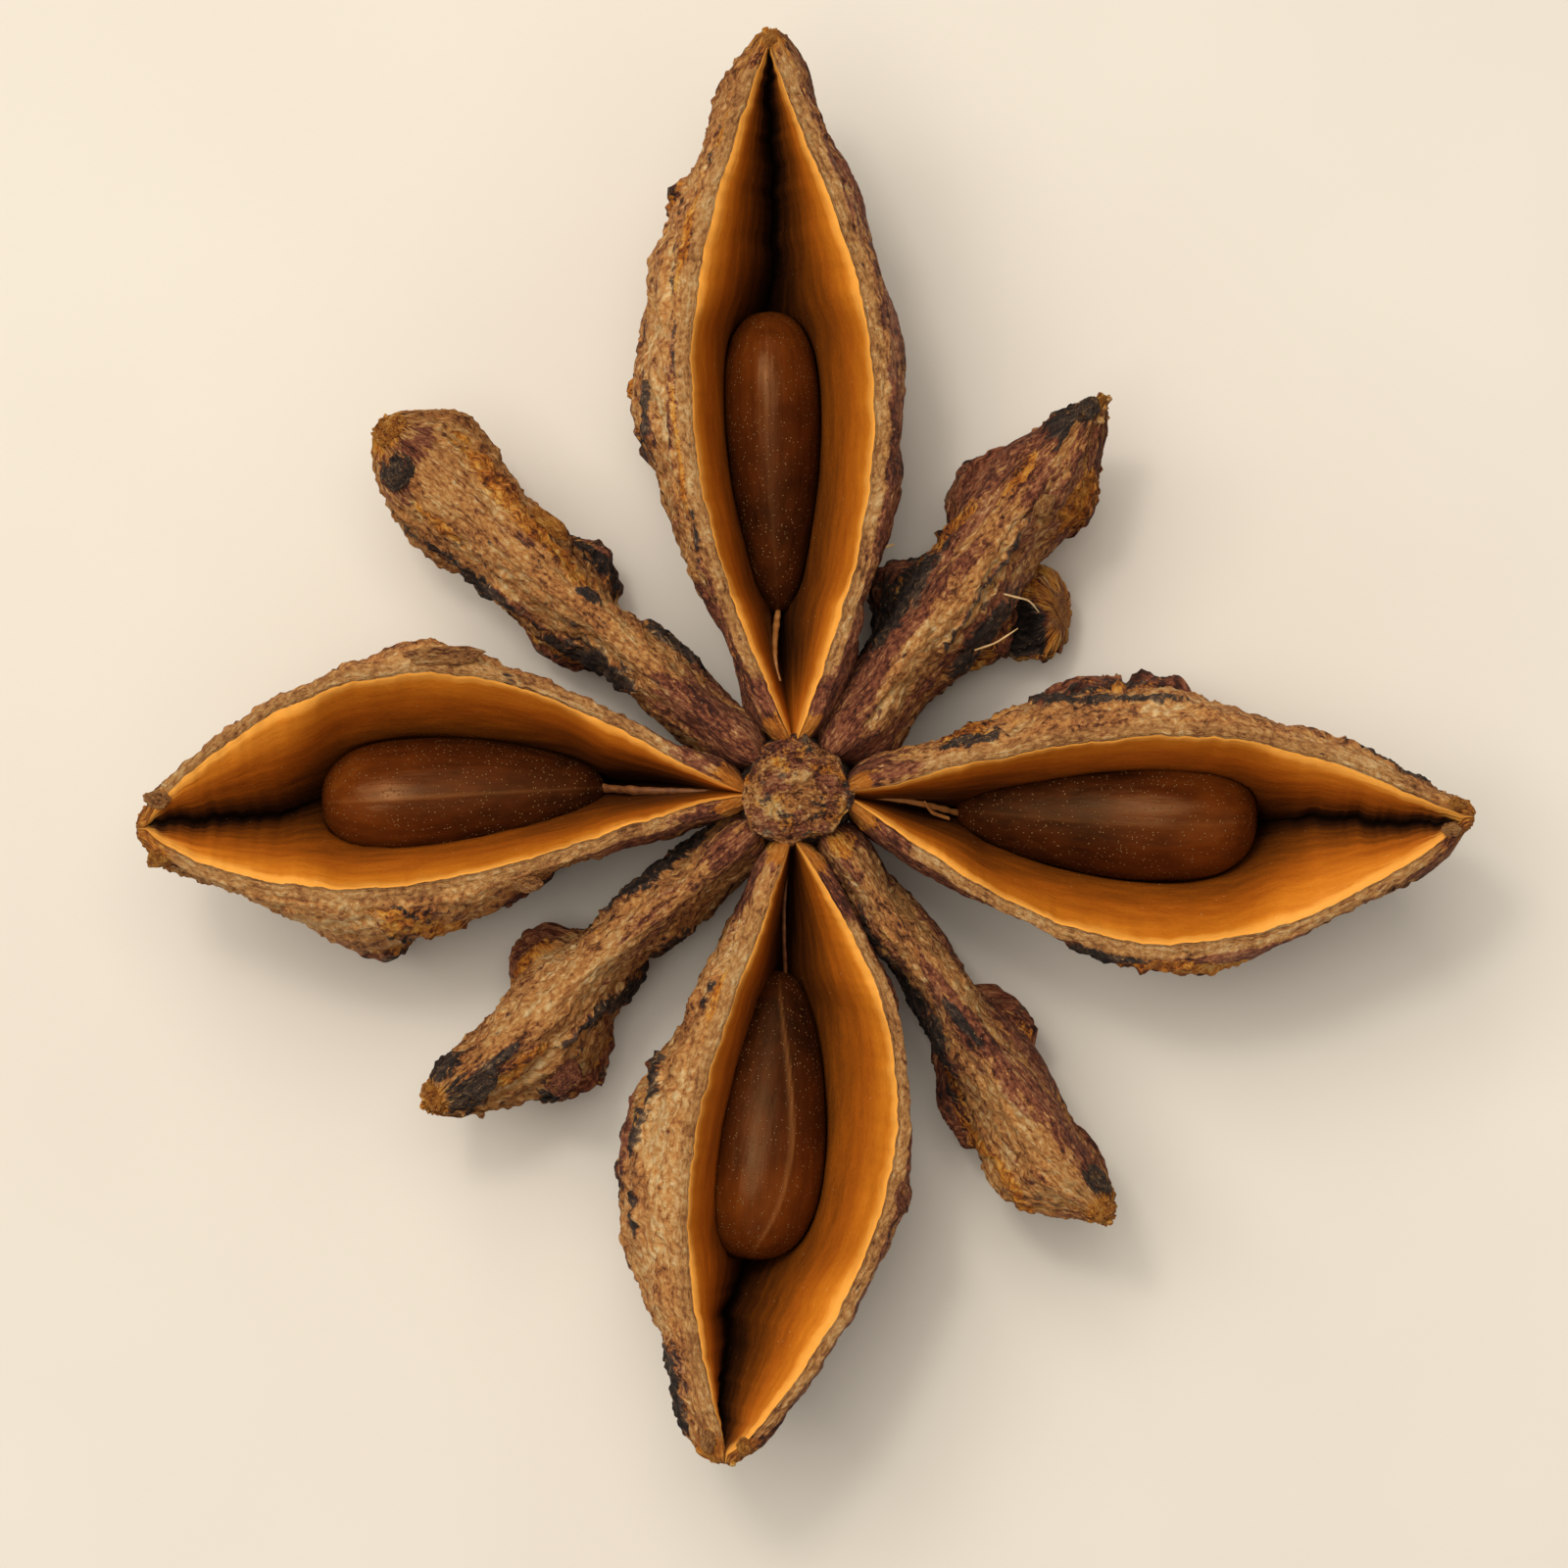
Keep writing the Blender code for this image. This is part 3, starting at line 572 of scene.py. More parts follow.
def split_half(carpel, seed, side, out):
    """One wall of a gaping carpel from the lip down: its bark, cut edge and lining, as in a Skin."""
    wall = carpel.left if side > 0 else carpel.right
    dress = DRESSES[carpel.name]
    share, crest, depth, root = profile(carpel, out)
    lean = side * 0.5 * carpel.tilt * np.sin(math.pi * share)
    crest, depth = crest + lean, depth + REST_CUT + lean
    bark_turn = HALF_PI * np.linspace(0, 1, BARK_STEPS) ** 1.35
    lining_turn = HALF_PI * np.linspace(0, 1, LINING_STEPS) ** 1.2
    rim = np.linspace(0, 1, RIM_STEPS + 1)[1:-1]

    # How deep the split is, and where its floor lies across
    beyond = ease((out - seed.outer + 0.3) / CREASE_RUN)
    shallow = 1 - (1 - dress.fold) * bell(out - ROOT, 1.6)
    split = np.maximum(np.sin(math.pi * along_split(carpel, out)), SLIT)
    pocket = POCKET_SHARE * split ** POCKET_POWER * shallow * (1 - (1 - dress.crease[0]) * beyond)
    crease = dress.crease[1] + waver(out, carpel.angle, CREASE_WAVER)
    foot = FLOOR_SHIFT * seed.across * pocket * (1 - beyond) + beyond * crease

    edge = opening(wall, carpel, out)
    bulge, lobe = bulges(carpel, wall, side, out, bark_turn)
    bark = flank_points(side, edge + root * LIP, root * bulge, carpel.keel, crest, depth, bark_turn,
                        OUTER_SLOPE * wall.slope)
    lining = lining_points(side, edge, foot, crest, pocket * depth, lining_turn, seed, out)

    # Painted shade deep in the split, and darker painted shade along its crease
    below = crest - lining[1]
    width = opening(carpel.left, carpel, out) + opening(carpel.right, carpel, out)
    gloom = shallow * below / (below + PAINTED_SHADE_WIDTH * width)
    way = arc_from_start(*lining)
    gloom = gloom + (0.9 - gloom) * beyond * np.exp(-(way[:, -1:] - way) / CREASE_SHADE_WIDTH)

    # The lip's uneven line, and the edge between bark and lining
    ends = ease((out - ROOT - 0.2) / 1.5) * ease((carpel.reach - out) / 1.2)
    own = carpel.angle + 3.1 * side
    stray = np.array([side * ends * waver(out, own), ends * waver(out, own + 7.7)])
    bark = np.array(bark) + stray * bell(bark_turn, 0.22)
    lining = np.array(lining) + stray * bell(lining_turn, 0.22)
    cut = bark[..., :1] * (1 - rim) + lining[..., :1] * rim
    cut[1] += RIM_CROWN * root * np.sin(math.pi * rim)

    parts = []
    for line, gloom, lobe, layer in ((bark, 0, lobe, BARK), (cut, 0, 0, RIM),
                                     (lining, gloom, 0, LINING)):
        way = 0 if layer == RIM else arc_from_start(*line)
        roll = -RIM_ROLL * rim if layer == RIM else HALF_PI * (way / way[:, -1:])
        roll = roll if side > 0 else math.pi - roll
        parts.append(np.array(np.broadcast_arrays(*line, way, roll, gloom, lobe, layer)))
    return parts


def split_skin(carpel, seed):
    """The grid of a gaping carpel: bark, the wall's cut edge, and the lining."""
    out = stations(carpel, SPLIT_STATIONS)
    left, right = (split_half(carpel, seed, side, out) for side in (1, -1))
    ring = np.concatenate([left[0], right[0][..., -2::-1], right[1],
                           right[2], left[2][..., -2::-1], left[1][..., ::-1]], axis=-1)
    return Skin(carpel, out, ring, 0)


def shut_skin(carpel):
    """The grid of a carpel that stayed shut, with its points evenly spaced round each ring."""
    out = stations(carpel, SHUT_STATIONS)
    _, crest, depth, root = profile(carpel, out)
    turn = HALF_PI * np.linspace(0, 1, 4 * SHUT_STEPS) ** 1.7
    halves = []
    for side, wall in ((1, carpel.left), (-1, carpel.right)):
        bulge, lobe = bulges(carpel, wall, side, out, turn)
        half = flank_points(side, root * CREST * 0.5, root * bulge, carpel.keel, crest, depth, turn)
        halves.append(np.array((*half, lobe)))
    left, right = halves
    rings = np.concatenate([left, right[..., -2::-1], left[..., :1]], axis=-1)
    way = arc_from_start(rings[0], rings[1])
    whole = way[:, -1:]
    even = whole * np.linspace(0, 1, 2 * SHUT_STEPS)[:-1]
    across, up, lobe = (np.stack([np.interp(*row) for row in zip(even, way, ring)]) for ring in rings)
    from_lip = np.minimum(even, whole - even)
    ring = np.broadcast_arrays(across, up, from_lip, math.pi * even / whole, 0, lobe, BARK)
    return Skin(carpel, out, ring, 1)


# ---- the bark's cover and relief

def spot(patch, out, across, ragged):
    """1 inside a patch and 0 outside it, with a ragged edge."""
    lean = math.radians(patch.lean)
    out, across = out - patch.out, across - patch.across
    along = out * math.cos(lean) + across * math.sin(lean)
    aside = across * math.cos(lean) - out * math.sin(lean)
    return ease(1.5 - np.hypot(along / patch.run, aside / patch.width) + 0.45 * ragged)


def bark_cover(skin):
    """How far each kind of surface covers each point: over 0.5 it shows, under it does not.

    Smooth purple-brown skin is under all; pale cork lies on it, then coal, then rust.
    """
    dress = DRESSES[skin.carpel.name]
    out, across = skin.out, skin.places[..., 1]
    grain = skin.grain()
    broad = layered(grain * (0.25, 0.6, 0.6) + 21, 3)
    blotch = layered(grain * (0.4, 1.1, 1.1) + 41, 3)
    ragged = layered(grain * (0.9, 2.4, 2.4) + 61, 3)
    fleck = layered(grain * (0.5, 1.3, 1.3) + 81, 3)
    left = ease(0.5 + across / 0.8 + 0.6 * ragged)
    low = ease((skin.from_lip - 3.5) / 3)
    share = dress.cork[0] * left + dress.cork[1] * (1 - left)
    share = share + (LOW_CORK - share) * low
    lobe = ease(skin.lobe / 0.35)
    purple = ease((dress.purple + 1.2 * ragged - out) / 0.8)
    ends = bell(out - ROOT_END, 0.5) + np.exp(-(skin.carpel.reach - out) / 0.6)
    # Painted shade on the underside: a little less cork and a little more coal there
    cover = {
        "cork": share - 0.02 + 0.3 * broad + 0.12 * ragged - 0.05 * low - 0.6 * lobe - purple,
        "coal": 0.16 + 0.3 * blotch + 0.1 * low + 0.1 * lobe - purple,
        "rust": 0.14 + 0.26 * fleck + 1.6 * lobe * (1 - lobe) - 0.6 * purple
                + 0.8 * ends * np.exp(-skin.from_lip / 0.7),
    }
    upper = ease((PATCHES_TO - skin.from_lip) / 1)
    for patch in dress.patches:
        mask = upper * spot(patch, out, across, ragged)
        for kind in KINDS:
            aim = PATCH_OVER if kind == patch.kind else PATCH_UNDER
            cover[kind] = cover[kind] * (1 - mask) + (aim + 0.15 * blotch) * mask
    return cover


def bark_relief(grain, places):
    """Folds, flakes with fibres, and grains over the plain form, in millimetres."""
    bend = np.stack([noise(grain * 0.6 + shift) for shift in (3, 8, 13)], axis=-1)
    bent = grain + 0.45 * bend
    flakes = terraced(0.5 + 0.5 * layered(bent * (0.7, 1.8, 1.8) + 5, 3), 4) - 0.5
    fibres = ridged(bent * (0.8, 3.6, 3.6) + 9)
    return (FOLD_HEIGHT * ridged(bent * (0.3, 0.9, 0.9)),
            FLAKE_HEIGHT * flakes + FIBRE_HEIGHT * fibres,
            GRAIN_HEIGHT * layered(places * 4, 2))


def raise_bark(skin, cover):
    """Lifts the bark along its normals, and returns how high each point was lifted."""
    grain = skin.grain()
    cork, coal, rust = (ease((cover[kind] - 0.4) / 0.2) for kind in KINDS)
    crust = np.maximum(np.maximum(cork, coal), rust)
    ends = 0.35 + 0.65 * ease((skin.out - ROOT) / 2.5) * ease((skin.carpel.reach - skin.out) / 1)
    folds, flakes, grains = bark_relief(grain, skin.places)
    bark = folds + flakes * (0.35 + 0.65 * crust) + grains * (0.25 + 0.75 * crust)
    bark = bark + 0.06 * cork * (1 - coal) - 0.1 * coal * (1 - rust) + 0.6 * rust * grains
    bark = bark * (0.3 + 0.7 * ease(skin.from_lip / 0.5)) * ends
    rim = ends * (0.06 * layered(skin.places * 4.5 + 3, 2) + 0.03)
    soft = 0.02 * layered(grain * (0.5, 1.2, 1.2), 2)
    height = np.choose(skin.layer.astype(int), (bark, rim, soft))
    skin.places = skin.places + height[..., None] * skin.normals()
    skin.places[..., 2] = np.maximum(skin.places[..., 2], 0)
    return height


def to_row(places, angle):
    """Points of a carpel's own frame, in the pod's frame and in metres."""
    turn = np.radians(angle)
    out, across, up = np.moveaxis(places, -1, 0)
    x = HUB[0] + out * np.cos(turn) - across * np.sin(turn)
    y = HUB[1] + out * np.sin(turn) + across * np.cos(turn)
    return triples(x, y, up) * MM


# ---- meshes

def ring_faces(rows, count):
    """Quads of a loft of closed rings, as an array of corner numbers."""
    row, place = np.meshgrid(np.arange(rows - 1), np.arange(count), indexing="ij")
    here = row * count + place
    beside = row * count + (place + 1) % count
    return np.stack([here, beside, beside + count, here + count], axis=-1).reshape(-1, 4)


def loft_faces(rows, count, first=0):
    """Quads of a loft of closed rings, and its two flat ends."""
    ends = [list(range(count))[::-1], range((rows - 1) * count, rows * count)]
    return (ring_faces(rows, count) + first).tolist() + [[first + i for i in end] for end in ends]


def pole_faces(start, count, pole):
    """Triangles that close the ring of points that begins at start, towards a pole."""
    return [[start + (i + 1) % count, start + i, pole] for i in range(count)]


def add_piece(name, points, faces, materials, marks, face_materials=None,
              stands_for=("pod",)):
    """A mesh that rides on the pod, with one named value for each point in marks."""
    mesh = bpy.data.meshes.new(name)
    mesh.from_pydata(points.reshape(-1, 3).tolist(), [], faces)
    for material in materials:
        mesh.materials.append(material)
    if face_materials is not None:
        mesh.polygons.foreach_set("material_index", face_materials)
    for mark, values in marks.items():
        kind, field = ("FLOAT_VECTOR", "vector") if mark == "grain" else ("FLOAT", "value")
        attribute = mesh.attributes.new(mark, kind, "POINT")
        attribute.data.foreach_set(field, np.ascontiguousarray(values, dtype=np.float32).ravel())
    tidy = bmesh.new()
    tidy.from_mesh(mesh)
    big = [face for face in tidy.faces if len(face.verts) > 4]
    bmesh.ops.triangulate(tidy, faces=big, ngon_method="EAR_CLIP")
    if tidy.calc_volume(signed=True) < 0:
        bmesh.ops.reverse_faces(tidy, faces=tidy.faces)
    tidy.to_mesh(mesh)
    tidy.free()
    mesh.shade_smooth()
    piece = bpy.data.objects.new(name, mesh)
    bpy.context.scene.collection.objects.link(piece)
    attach(piece, "root")
    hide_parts(*stands_for)


def bark_marks(grain, height, cover, edge=0):
    """What the bark's material reads at each point."""
    return {"grain": grain, "relief": height / RELIEF_UNIT, "edge": edge + 0 * height, **cover}


def make_carpel(skin, materials):
    cover = bark_cover(skin)
    height = raise_bark(skin, cover)
    rows, count = skin.layer.shape
    inside = (skin.layer.ravel()[ring_faces(rows, count)] == LINING).sum(axis=1) >= 3
    marks = bark_marks(skin.grain(), height, cover)
    if skin.layer.any():
        pale = ease((skin.out - 2.2) / 1.5) * ease((skin.carpel.reach - skin.out) / 1.5)
        marks["edge"] = pale * np.where(skin.layer == RIM, 1, np.exp(-skin.from_lip / 0.12))
        marks["bare"] = bell(skin.out - ROOT_END, 0.55) * bell(skin.from_lip, 0.45)
    marks["from_lip"] = skin.from_lip
    marks["gloom"] = skin.gloom
    add_piece("carpel_" + skin.carpel.name, to_row(skin.places, skin.carpel.angle),
              loft_faces(rows, count), materials, marks, np.append(inside, (0, 0)).astype(np.int32))


def make_seed(name, carpel, seed, material):
    """A flat egg on its edge, with the raphe's fine ridge along its top."""
    rings, sides = 84, 112
    latitude = np.linspace(0, math.pi, rings)[1:-1, None]
    longitude = circle(sides)
    end = -np.cos(latitude)
    around = np.sin(latitude)
    sideways = around * np.cos(longitude)
    upward = around * np.sin(longitude)
    turned = np.arctan2(sideways, upward) - math.radians(seed.raphe_lean) * (1 - end ** 2)
    raphe = seed.raphe * bell(turned, RAPHE_WIDTH) * around
    beside = seed.raphe * bell(turned, RAPHE_HOLLOW) * around
    dimples = layered(2.4 * triples(end, sideways, upward), 2)
    plump = seed_slimness(end) * (1 + 0.03 * raphe - 0.016 * beside + 0.012 * dimples)
    half_height = 0.5 * (seed.top - seed.bottom)
    half_length = 0.5 * (seed.outer - seed.inner)

    def place(along, sideways, upward):
        return triples(seed.inner + half_length * (1 + along), seed.across + seed.half_width * sideways,
                       seed.bottom + half_height * (1 + upward) - SEED_TILT * along).reshape(-1, 3)

    coat = place(end + SEED_BLUNT * (1 - end * end), sideways * plump, upward * plump)
    poles = np.array([-1, 1])
    points = np.concatenate([coat, place(poles, 0, 0)])
    last_ring = (rings - 3) * sides
    faces = ring_faces(rings - 2, sides).tolist() + pole_faces(0, sides, len(coat))
    faces += [face[::-1] for face in pole_faces(last_ring, sides, len(coat) + 1)]
    marks = {
        "grain": points + carpel.angle,
        "along": np.append(np.repeat(end, sides), poles),
        "raphe": np.append(raphe, (0, 0)),
    }
    add_piece("seed_coat_" + name, to_row(points, carpel.angle), faces, [material], marks,
              stands_for=("seed_" + name,))


def make_hub(material):
    """The column's cap: a rough eight-sided stub of broken plates."""
    rings, sides = 71, 180
    share = np.linspace(0, 1, rings + 1)[1:, None]
    angle = circle(sides)
    facet = np.cos(math.pi / 8) / np.cos((angle + 0.15) % (math.pi / 4) - math.pi / 8)
    radius = HUB_RADIUS * facet * np.minimum(share / 0.72, 1 + 0.1 * ease((share - 0.76) / 0.1))
    radius = radius * (1 + 0.05 * np.cos(3 * angle + 1))
    drop = 0.35 * ease((share - 0.55) / 0.2) + 4 * np.maximum(share - 0.74, 0) / 0.26
    places = triples(radius * np.cos(angle), radius * np.sin(angle), HUB_TOP - drop)
    plates = terraced(0.5 + 0.5 * layered(places * 1.1 + 2, 2), 3) - 0.5
    inner = 1 - 0.7 * ease((share - 0.75) / 0.15)
    height = inner * (0.45 * plates + 0.12 * layered(places * 2.2, 3) + 0.06 * layered(places * 6, 2))
    places[..., 2] += height
    places[..., :2] *= 1 + 0.07 * layered(places * 1.7 + 9, 3)[..., None]
    points = np.concatenate([places.reshape(-1, 3), [[0, 0, HUB_TOP + 0.05]]])
    faces = ring_faces(rings, sides).tolist() + pole_faces(0, sides, rings * sides)
    faces.append(list(range((rings - 1) * sides, rings * sides)))
    heart = bell(np.hypot(points[:, 0], points[:, 1]), 0.45)
    skirt = ease((HUB_TOP - 0.6 - points[:, 2]) / 0.5)
    cover = {
        "cork": 0.48 + 0.6 * layered(points * 1.5, 3) + 0.35 * heart - skirt,
        "coal": 0.26 + 0.45 * layered(points * 1.4 + 5, 3) - 0.3 * heart + skirt,
        "rust": 0.3 + 0.5 * layered(points * 1.9 + 15, 3) - 0.3 * heart - skirt,
    }
    add_piece("column_cap", to_row(points, 0), faces, [material],
              bark_marks(points * 1.4, np.append(height, 0.05), cover))


def smooth_path(corners, count, window):
    """A polyline's points evenly along it, with the corners rounded off, and their way along."""
    corners = np.array(corners, dtype=float)
    steps = np.concatenate([[0], np.cumsum(np.linalg.norm(np.diff(corners, axis=0), axis=1))])
    reach = np.linspace(0, steps[-1], count)
    line = np.stack([np.interp(reach, steps, corners[:, axis]) for axis in range(3)], axis=-1)
    kernel = np.hanning(window) / np.hanning(window).sum()
    padded = np.pad(line, ((window // 2, window // 2), (0, 0)), mode="reflect", reflect_type="odd")
    line = np.stack([np.convolve(padded[:, axis], kernel, "valid") for axis in range(3)], axis=-1)
    return line, reach, steps


def spokes(line, sides):
    """Directions round each point of a line, square to it."""
    along = np.gradient(line, axis=0)
    along /= np.linalg.norm(along, axis=1)[:, None]
    beside = np.cross(along, (0, 0, 1))
    beside /= np.linalg.norm(beside, axis=1)[:, None]
    over = np.cross(beside, along)
    angle = circle(sides)
    return beside[:, None] * np.cos(angle)[:, None] + over[:, None] * np.sin(angle)[:, None], angle


def make_stalk(material):
    """The bent stub of the stalk, which ends in a knob with a deep dent, its cave painted dark as painted
    shade, and a shallow dent.
    """
    count, sides = 120, 84
    line, reach, steps = smooth_path(STALK_PATH, count, 15)
    spoke, angle = spokes(line, sides)
    radius = np.interp(reach, steps, STALK_RADII)
    grain = triples(reach[:, None], 3 * np.cos(angle), 3 * np.sin(angle))
    height = sum(bark_relief(grain * 1.5 + 60, line[:, None] + spoke))
    places = line[:, None] + spoke * (radius[:, None] + height)[..., None]
    over = ease((places[..., 2] - line[:, None, 2]) / 0.4)
    ragged = layered(places * 0.9 + 4, 3)
    dents = []
    for x, y, wide, deep in DENTS:
        away = np.hypot(places[..., 0] - x, places[..., 1] - y) + 0.2 * ragged
        dents.append(deep * bell(away, wide) * over)
    places[..., 2] = np.maximum(places[..., 2] - sum(dents), 0.02)
    knob = ease((reach[:, None] - KNOB_FROM) / 1.2)
    # Painted shade: the deep dent's cave gets dark coal, less rust and a lower relief in the colour
    cave_shade = ease(dents[0] / 0.3)
    cover = {
        "cork": 0.28 + 0.35 * layered(grain * 1.1 + 5, 3),
        "coal": 0.28 + 0.3 * layered(grain * 1.3 + 15, 3) - 0.15 * knob + cave_shade,
        "rust": 0.15 + 0.3 * layered(grain * 1.5 + 25, 3) + 0.42 * knob - cave_shade,
    }
    add_piece("stalk_stub", to_row(places, 0), loft_faces(count, sides), [material],
              bark_marks(grain, height - 0.3 * cave_shade, cover))


def blob(steps):
    """Points and triangles of a small ball."""
    ball = bmesh.new()
    bmesh.ops.create_icosphere(ball, subdivisions=steps, radius=1)
    points = np.array([vert.co[:] for vert in ball.verts])
    faces = np.array([[vert.index for vert in face.verts] for face in ball.faces])
    ball.free()
    return points, faces


def copies(triangles, count):
    """The triangles of a row of equal blobs."""
    first = (triangles.max() + 1) * np.arange(count)
    return (triangles + first[:, None, None]).reshape(-1, 3).tolist()


def surface_up(skin, out, across):
    """The highest bark near a place."""
    gap = np.hypot(skin.out - out, skin.places[..., 1] - across)
    return np.where((gap < 0.3) & (skin.layer < LINING), skin.places[..., 2], -1).max()


def make_knots(skins, material):
    """Rough lumps on the bark and at the carpels' ends, as one piece."""
    ball, triangles = blob(4)
    shift = 7 * np.arange(len(KNOTS))[:, None, None]
    angles = np.array([[skins[knot.carpel].carpel.angle] for knot in KNOTS])
    sizes = np.array([[knot.size] for knot in KNOTS])
    centres = [[(knot.out, knot.across,
                 surface_up(skins[knot.carpel], knot.out, knot.across) - knot.sunk)] for knot in KNOTS]
    swollen = 1 + 0.22 * layered(ball * 1.3 + shift, 2) + 0.1 * layered(ball * 4 + shift, 2)
    points = to_row(centres + ball * swollen[..., None] * sizes, angles)
    rough = 0.35 * layered(ball * 1.8 + shift + 3, 2)
    cover = {kind: rough + [[0.8 if knot.kind == kind else 0.2] for knot in KNOTS] for kind in KINDS}
    marks = bark_marks(ball * 1.6 + shift, 0.25 * layered(ball * 3 + shift, 2), cover)
    add_piece("knots", points, copies(triangles, len(KNOTS)), [material], marks)


def make_crumbs(skins, material):
    """Loose grains on the rims, the tips and the rusty patches, as one piece."""
    draw = np.random.default_rng(5)
    ball, triangles = blob(2)
    centres, sizes, kinds = [], [], []
    for skin in skins.values():
        cover = bark_cover(skin)
        facing = skin.normals()
        chance = ease((cover["rust"] - 0.45) / 0.2) + 0.1 * ease((cover["cork"] - 0.5) / 0.2)
        chance = chance + 0.8 * (skin.layer == RIM)
        chance = chance + 1.5 * np.exp(-(skin.carpel.reach - skin.out) / 0.5)
        chance = chance * (skin.layer < LINING) * (facing[..., 2] > 0.15) * (skin.out > 1.8)
        chance = chance.ravel()
        picks = draw.choice(len(chance), CRUMBS_EACH, replace=False, p=chance / chance.sum())
        size = CRUMB_SMALLEST + CRUMB_SPREAD * draw.random(CRUMBS_EACH) ** 2.5
        own = skin.places.reshape(-1, 3)[picks] + 0.3 * size[:, None] * facing.reshape(-1, 3)[picks]
        centres.append(to_row(own, skin.carpel.angle) / MM)
        sizes.append(size)
        kinds.append(cover["rust"].ravel()[picks] + 0.4 * (draw.random(CRUMBS_EACH) - 0.5) > 0.5)
    centres, sizes, rusty = np.concatenate(centres), np.concatenate(sizes), np.concatenate(kinds)
    count = len(centres)
    shape = 1 + 0.5 * (draw.random((count, len(ball))) - 0.5)
    stretch = 0.7 + 0.6 * draw.random((count, 1, 3))
    points = centres[:, None] + ball * shape[..., None] * stretch * sizes[:, None, None]
    tone = np.repeat(0.25 * (draw.random(count) - 0.25), len(ball))
    rusty = np.repeat(rusty.astype(float), len(ball))
    cover = {"cork": 1 - rusty, "coal": 0 * tone, "rust": rusty}
    marks = bark_marks(points * 1.3, tone, cover)
    add_piece("crumbs", points * MM, copies(triangles, count), [material], marks)


def make_threads(carpels, material):
    """The stalklets that held the seeds, and a few stray hairs, as one piece."""
    sides, count = 10, 40
    points, faces, grains, tones = [], [], [], []
    for index, thread in enumerate(THREADS):
        line, reach, _ = smooth_path(thread.path, count, 21)
        spoke, angle = spokes(line, sides)
        taper = 1 - 0.55 * (reach / reach[-1]) ** 3
        radius = thread.radius * taper * (1 + 0.25 * noise(1.7 * triples(reach * 2, index, 0)))
        oval = 1 + 0.25 * np.cos(2 * angle + index)
        own = line[:, None] + spoke * (radius[:, None] * oval)[..., None]
        points.append(to_row(own, carpels[thread.carpel].angle))
        faces += loft_faces(count, sides, index * count * sides)
        grains.append(own * 2)
        tones.append(np.full(count * sides, thread.tone))
    marks = {"grain": np.array(grains), "tone": np.array(tones)}
    add_piece("threads", np.array(points), faces, [material], marks)


# ---- materials

def colour(code):
    """A colour written as in a paint chart, in the linear values that a shader takes."""
    values = [int(code[i:i + 2], 16) / 255 for i in (0, 2, 4)]
    linear = [v / 12.92 if v <= 0.04045 else ((v + 0.055) / 1.055) ** 2.4 for v in values]
    return (*linear, 1)


class Painter:
    """Short ways to add nodes to one material."""

    def __init__(self, name):
        self.material = bpy.data.materials.new(name)
        self.material.use_nodes = True
        self.tree = self.material.node_tree

    def fill(self, node, inputs):
        """Links a node's inputs to sockets, or sets them to constants."""
        for key, value in inputs.items():
            if isinstance(value, bpy.types.NodeSocket):
                self.tree.links.new(value, node.inputs[key])
            else:
                node.inputs[key].default_value = value

    def node(self, kind, inputs, output=0, **settings):
        node = self.tree.nodes.new("ShaderNode" + kind)
        for name, value in settings.items():
            setattr(node, name, value)
        self.fill(node, inputs)
        return node.outputs[output]

    def mark(self, name, output="Fac"):
        return self.node("Attribute", {}, output, attribute_name=name)

    def sum(self, operation, first, second, third=0, clamp=False):
        return self.node("Math", {0: first, 1: second, 2: third}, operation=operation, use_clamp=clamp)

    def times(self, first, second, plus=0):
        """first * second + plus"""
        return self.sum("MULTIPLY_ADD", first, second, plus)

    def add(self, total, value, size, middle=0.5):
        """total + size * (value - middle)"""
        return self.sum("ADD", total, self.times(value, size, -size * middle))

    def stretch(self, vector, scale):
        return self.node("VectorMath", {0: vector, 1: scale}, operation="MULTIPLY")

    def warp(self, vector, scale, size):
        """The same place, pushed about by slow noise."""
        drift = self.node("TexNoise", {"Vector": vector, "Scale": scale}, "Color")
        return self.node("VectorMath", {0: drift, 1: (size,) * 3, 2: vector}, operation="MULTIPLY_ADD")

    def noise(self, vector, scale, detail=3, roughness=0.6, distortion=0):
        inputs = {"Vector": vector, "Scale": scale, "Detail": detail, "Roughness": roughness}
        return self.node("TexNoise", {**inputs, "Distortion": distortion}, "Fac")

    def cells(self, vector, scale):
        return self.node("TexVoronoi", {"Vector": vector, "Scale": scale}, "Distance")

    def ramp(self, factor, stops):
        colours = self.node("ValToRGB", {0: factor})
        elements = colours.node.color_ramp.elements
        while len(elements) < len(stops):
            elements.new(0.5)
        for element, (place, code) in zip(elements, stops):
            element.position = place
            element.color = colour(code)
        return colours

    def rise(self, value, low, high):
        """0 where value is at low, 1 at high, and a smooth rise between."""
        inputs = {"Value": value, "From Min": low, "From Max": high}
        return self.node("MapRange", inputs, "Result", interpolation_type="SMOOTHSTEP")

    def mix(self, factor, first, second):
        return self.node("Mix", {0: factor, 6: first, 7: second}, 2, data_type="RGBA")

    def finish(self, base, rough, relief, depth, specular=0.5, tint="FFFFFF"):
        """Gives the shader its inputs, and returns the material."""
        bump = self.node("Bump", {"Strength": 1, "Distance": depth * MM, "Height": relief}, "Normal")
        self.fill(self.tree.nodes["Principled BSDF"], {
            "Base Color": base, "Roughness": rough, "Normal": bump,
            "Specular IOR Level": specular, "Specular Tint": colour(tint)})
        return self.material


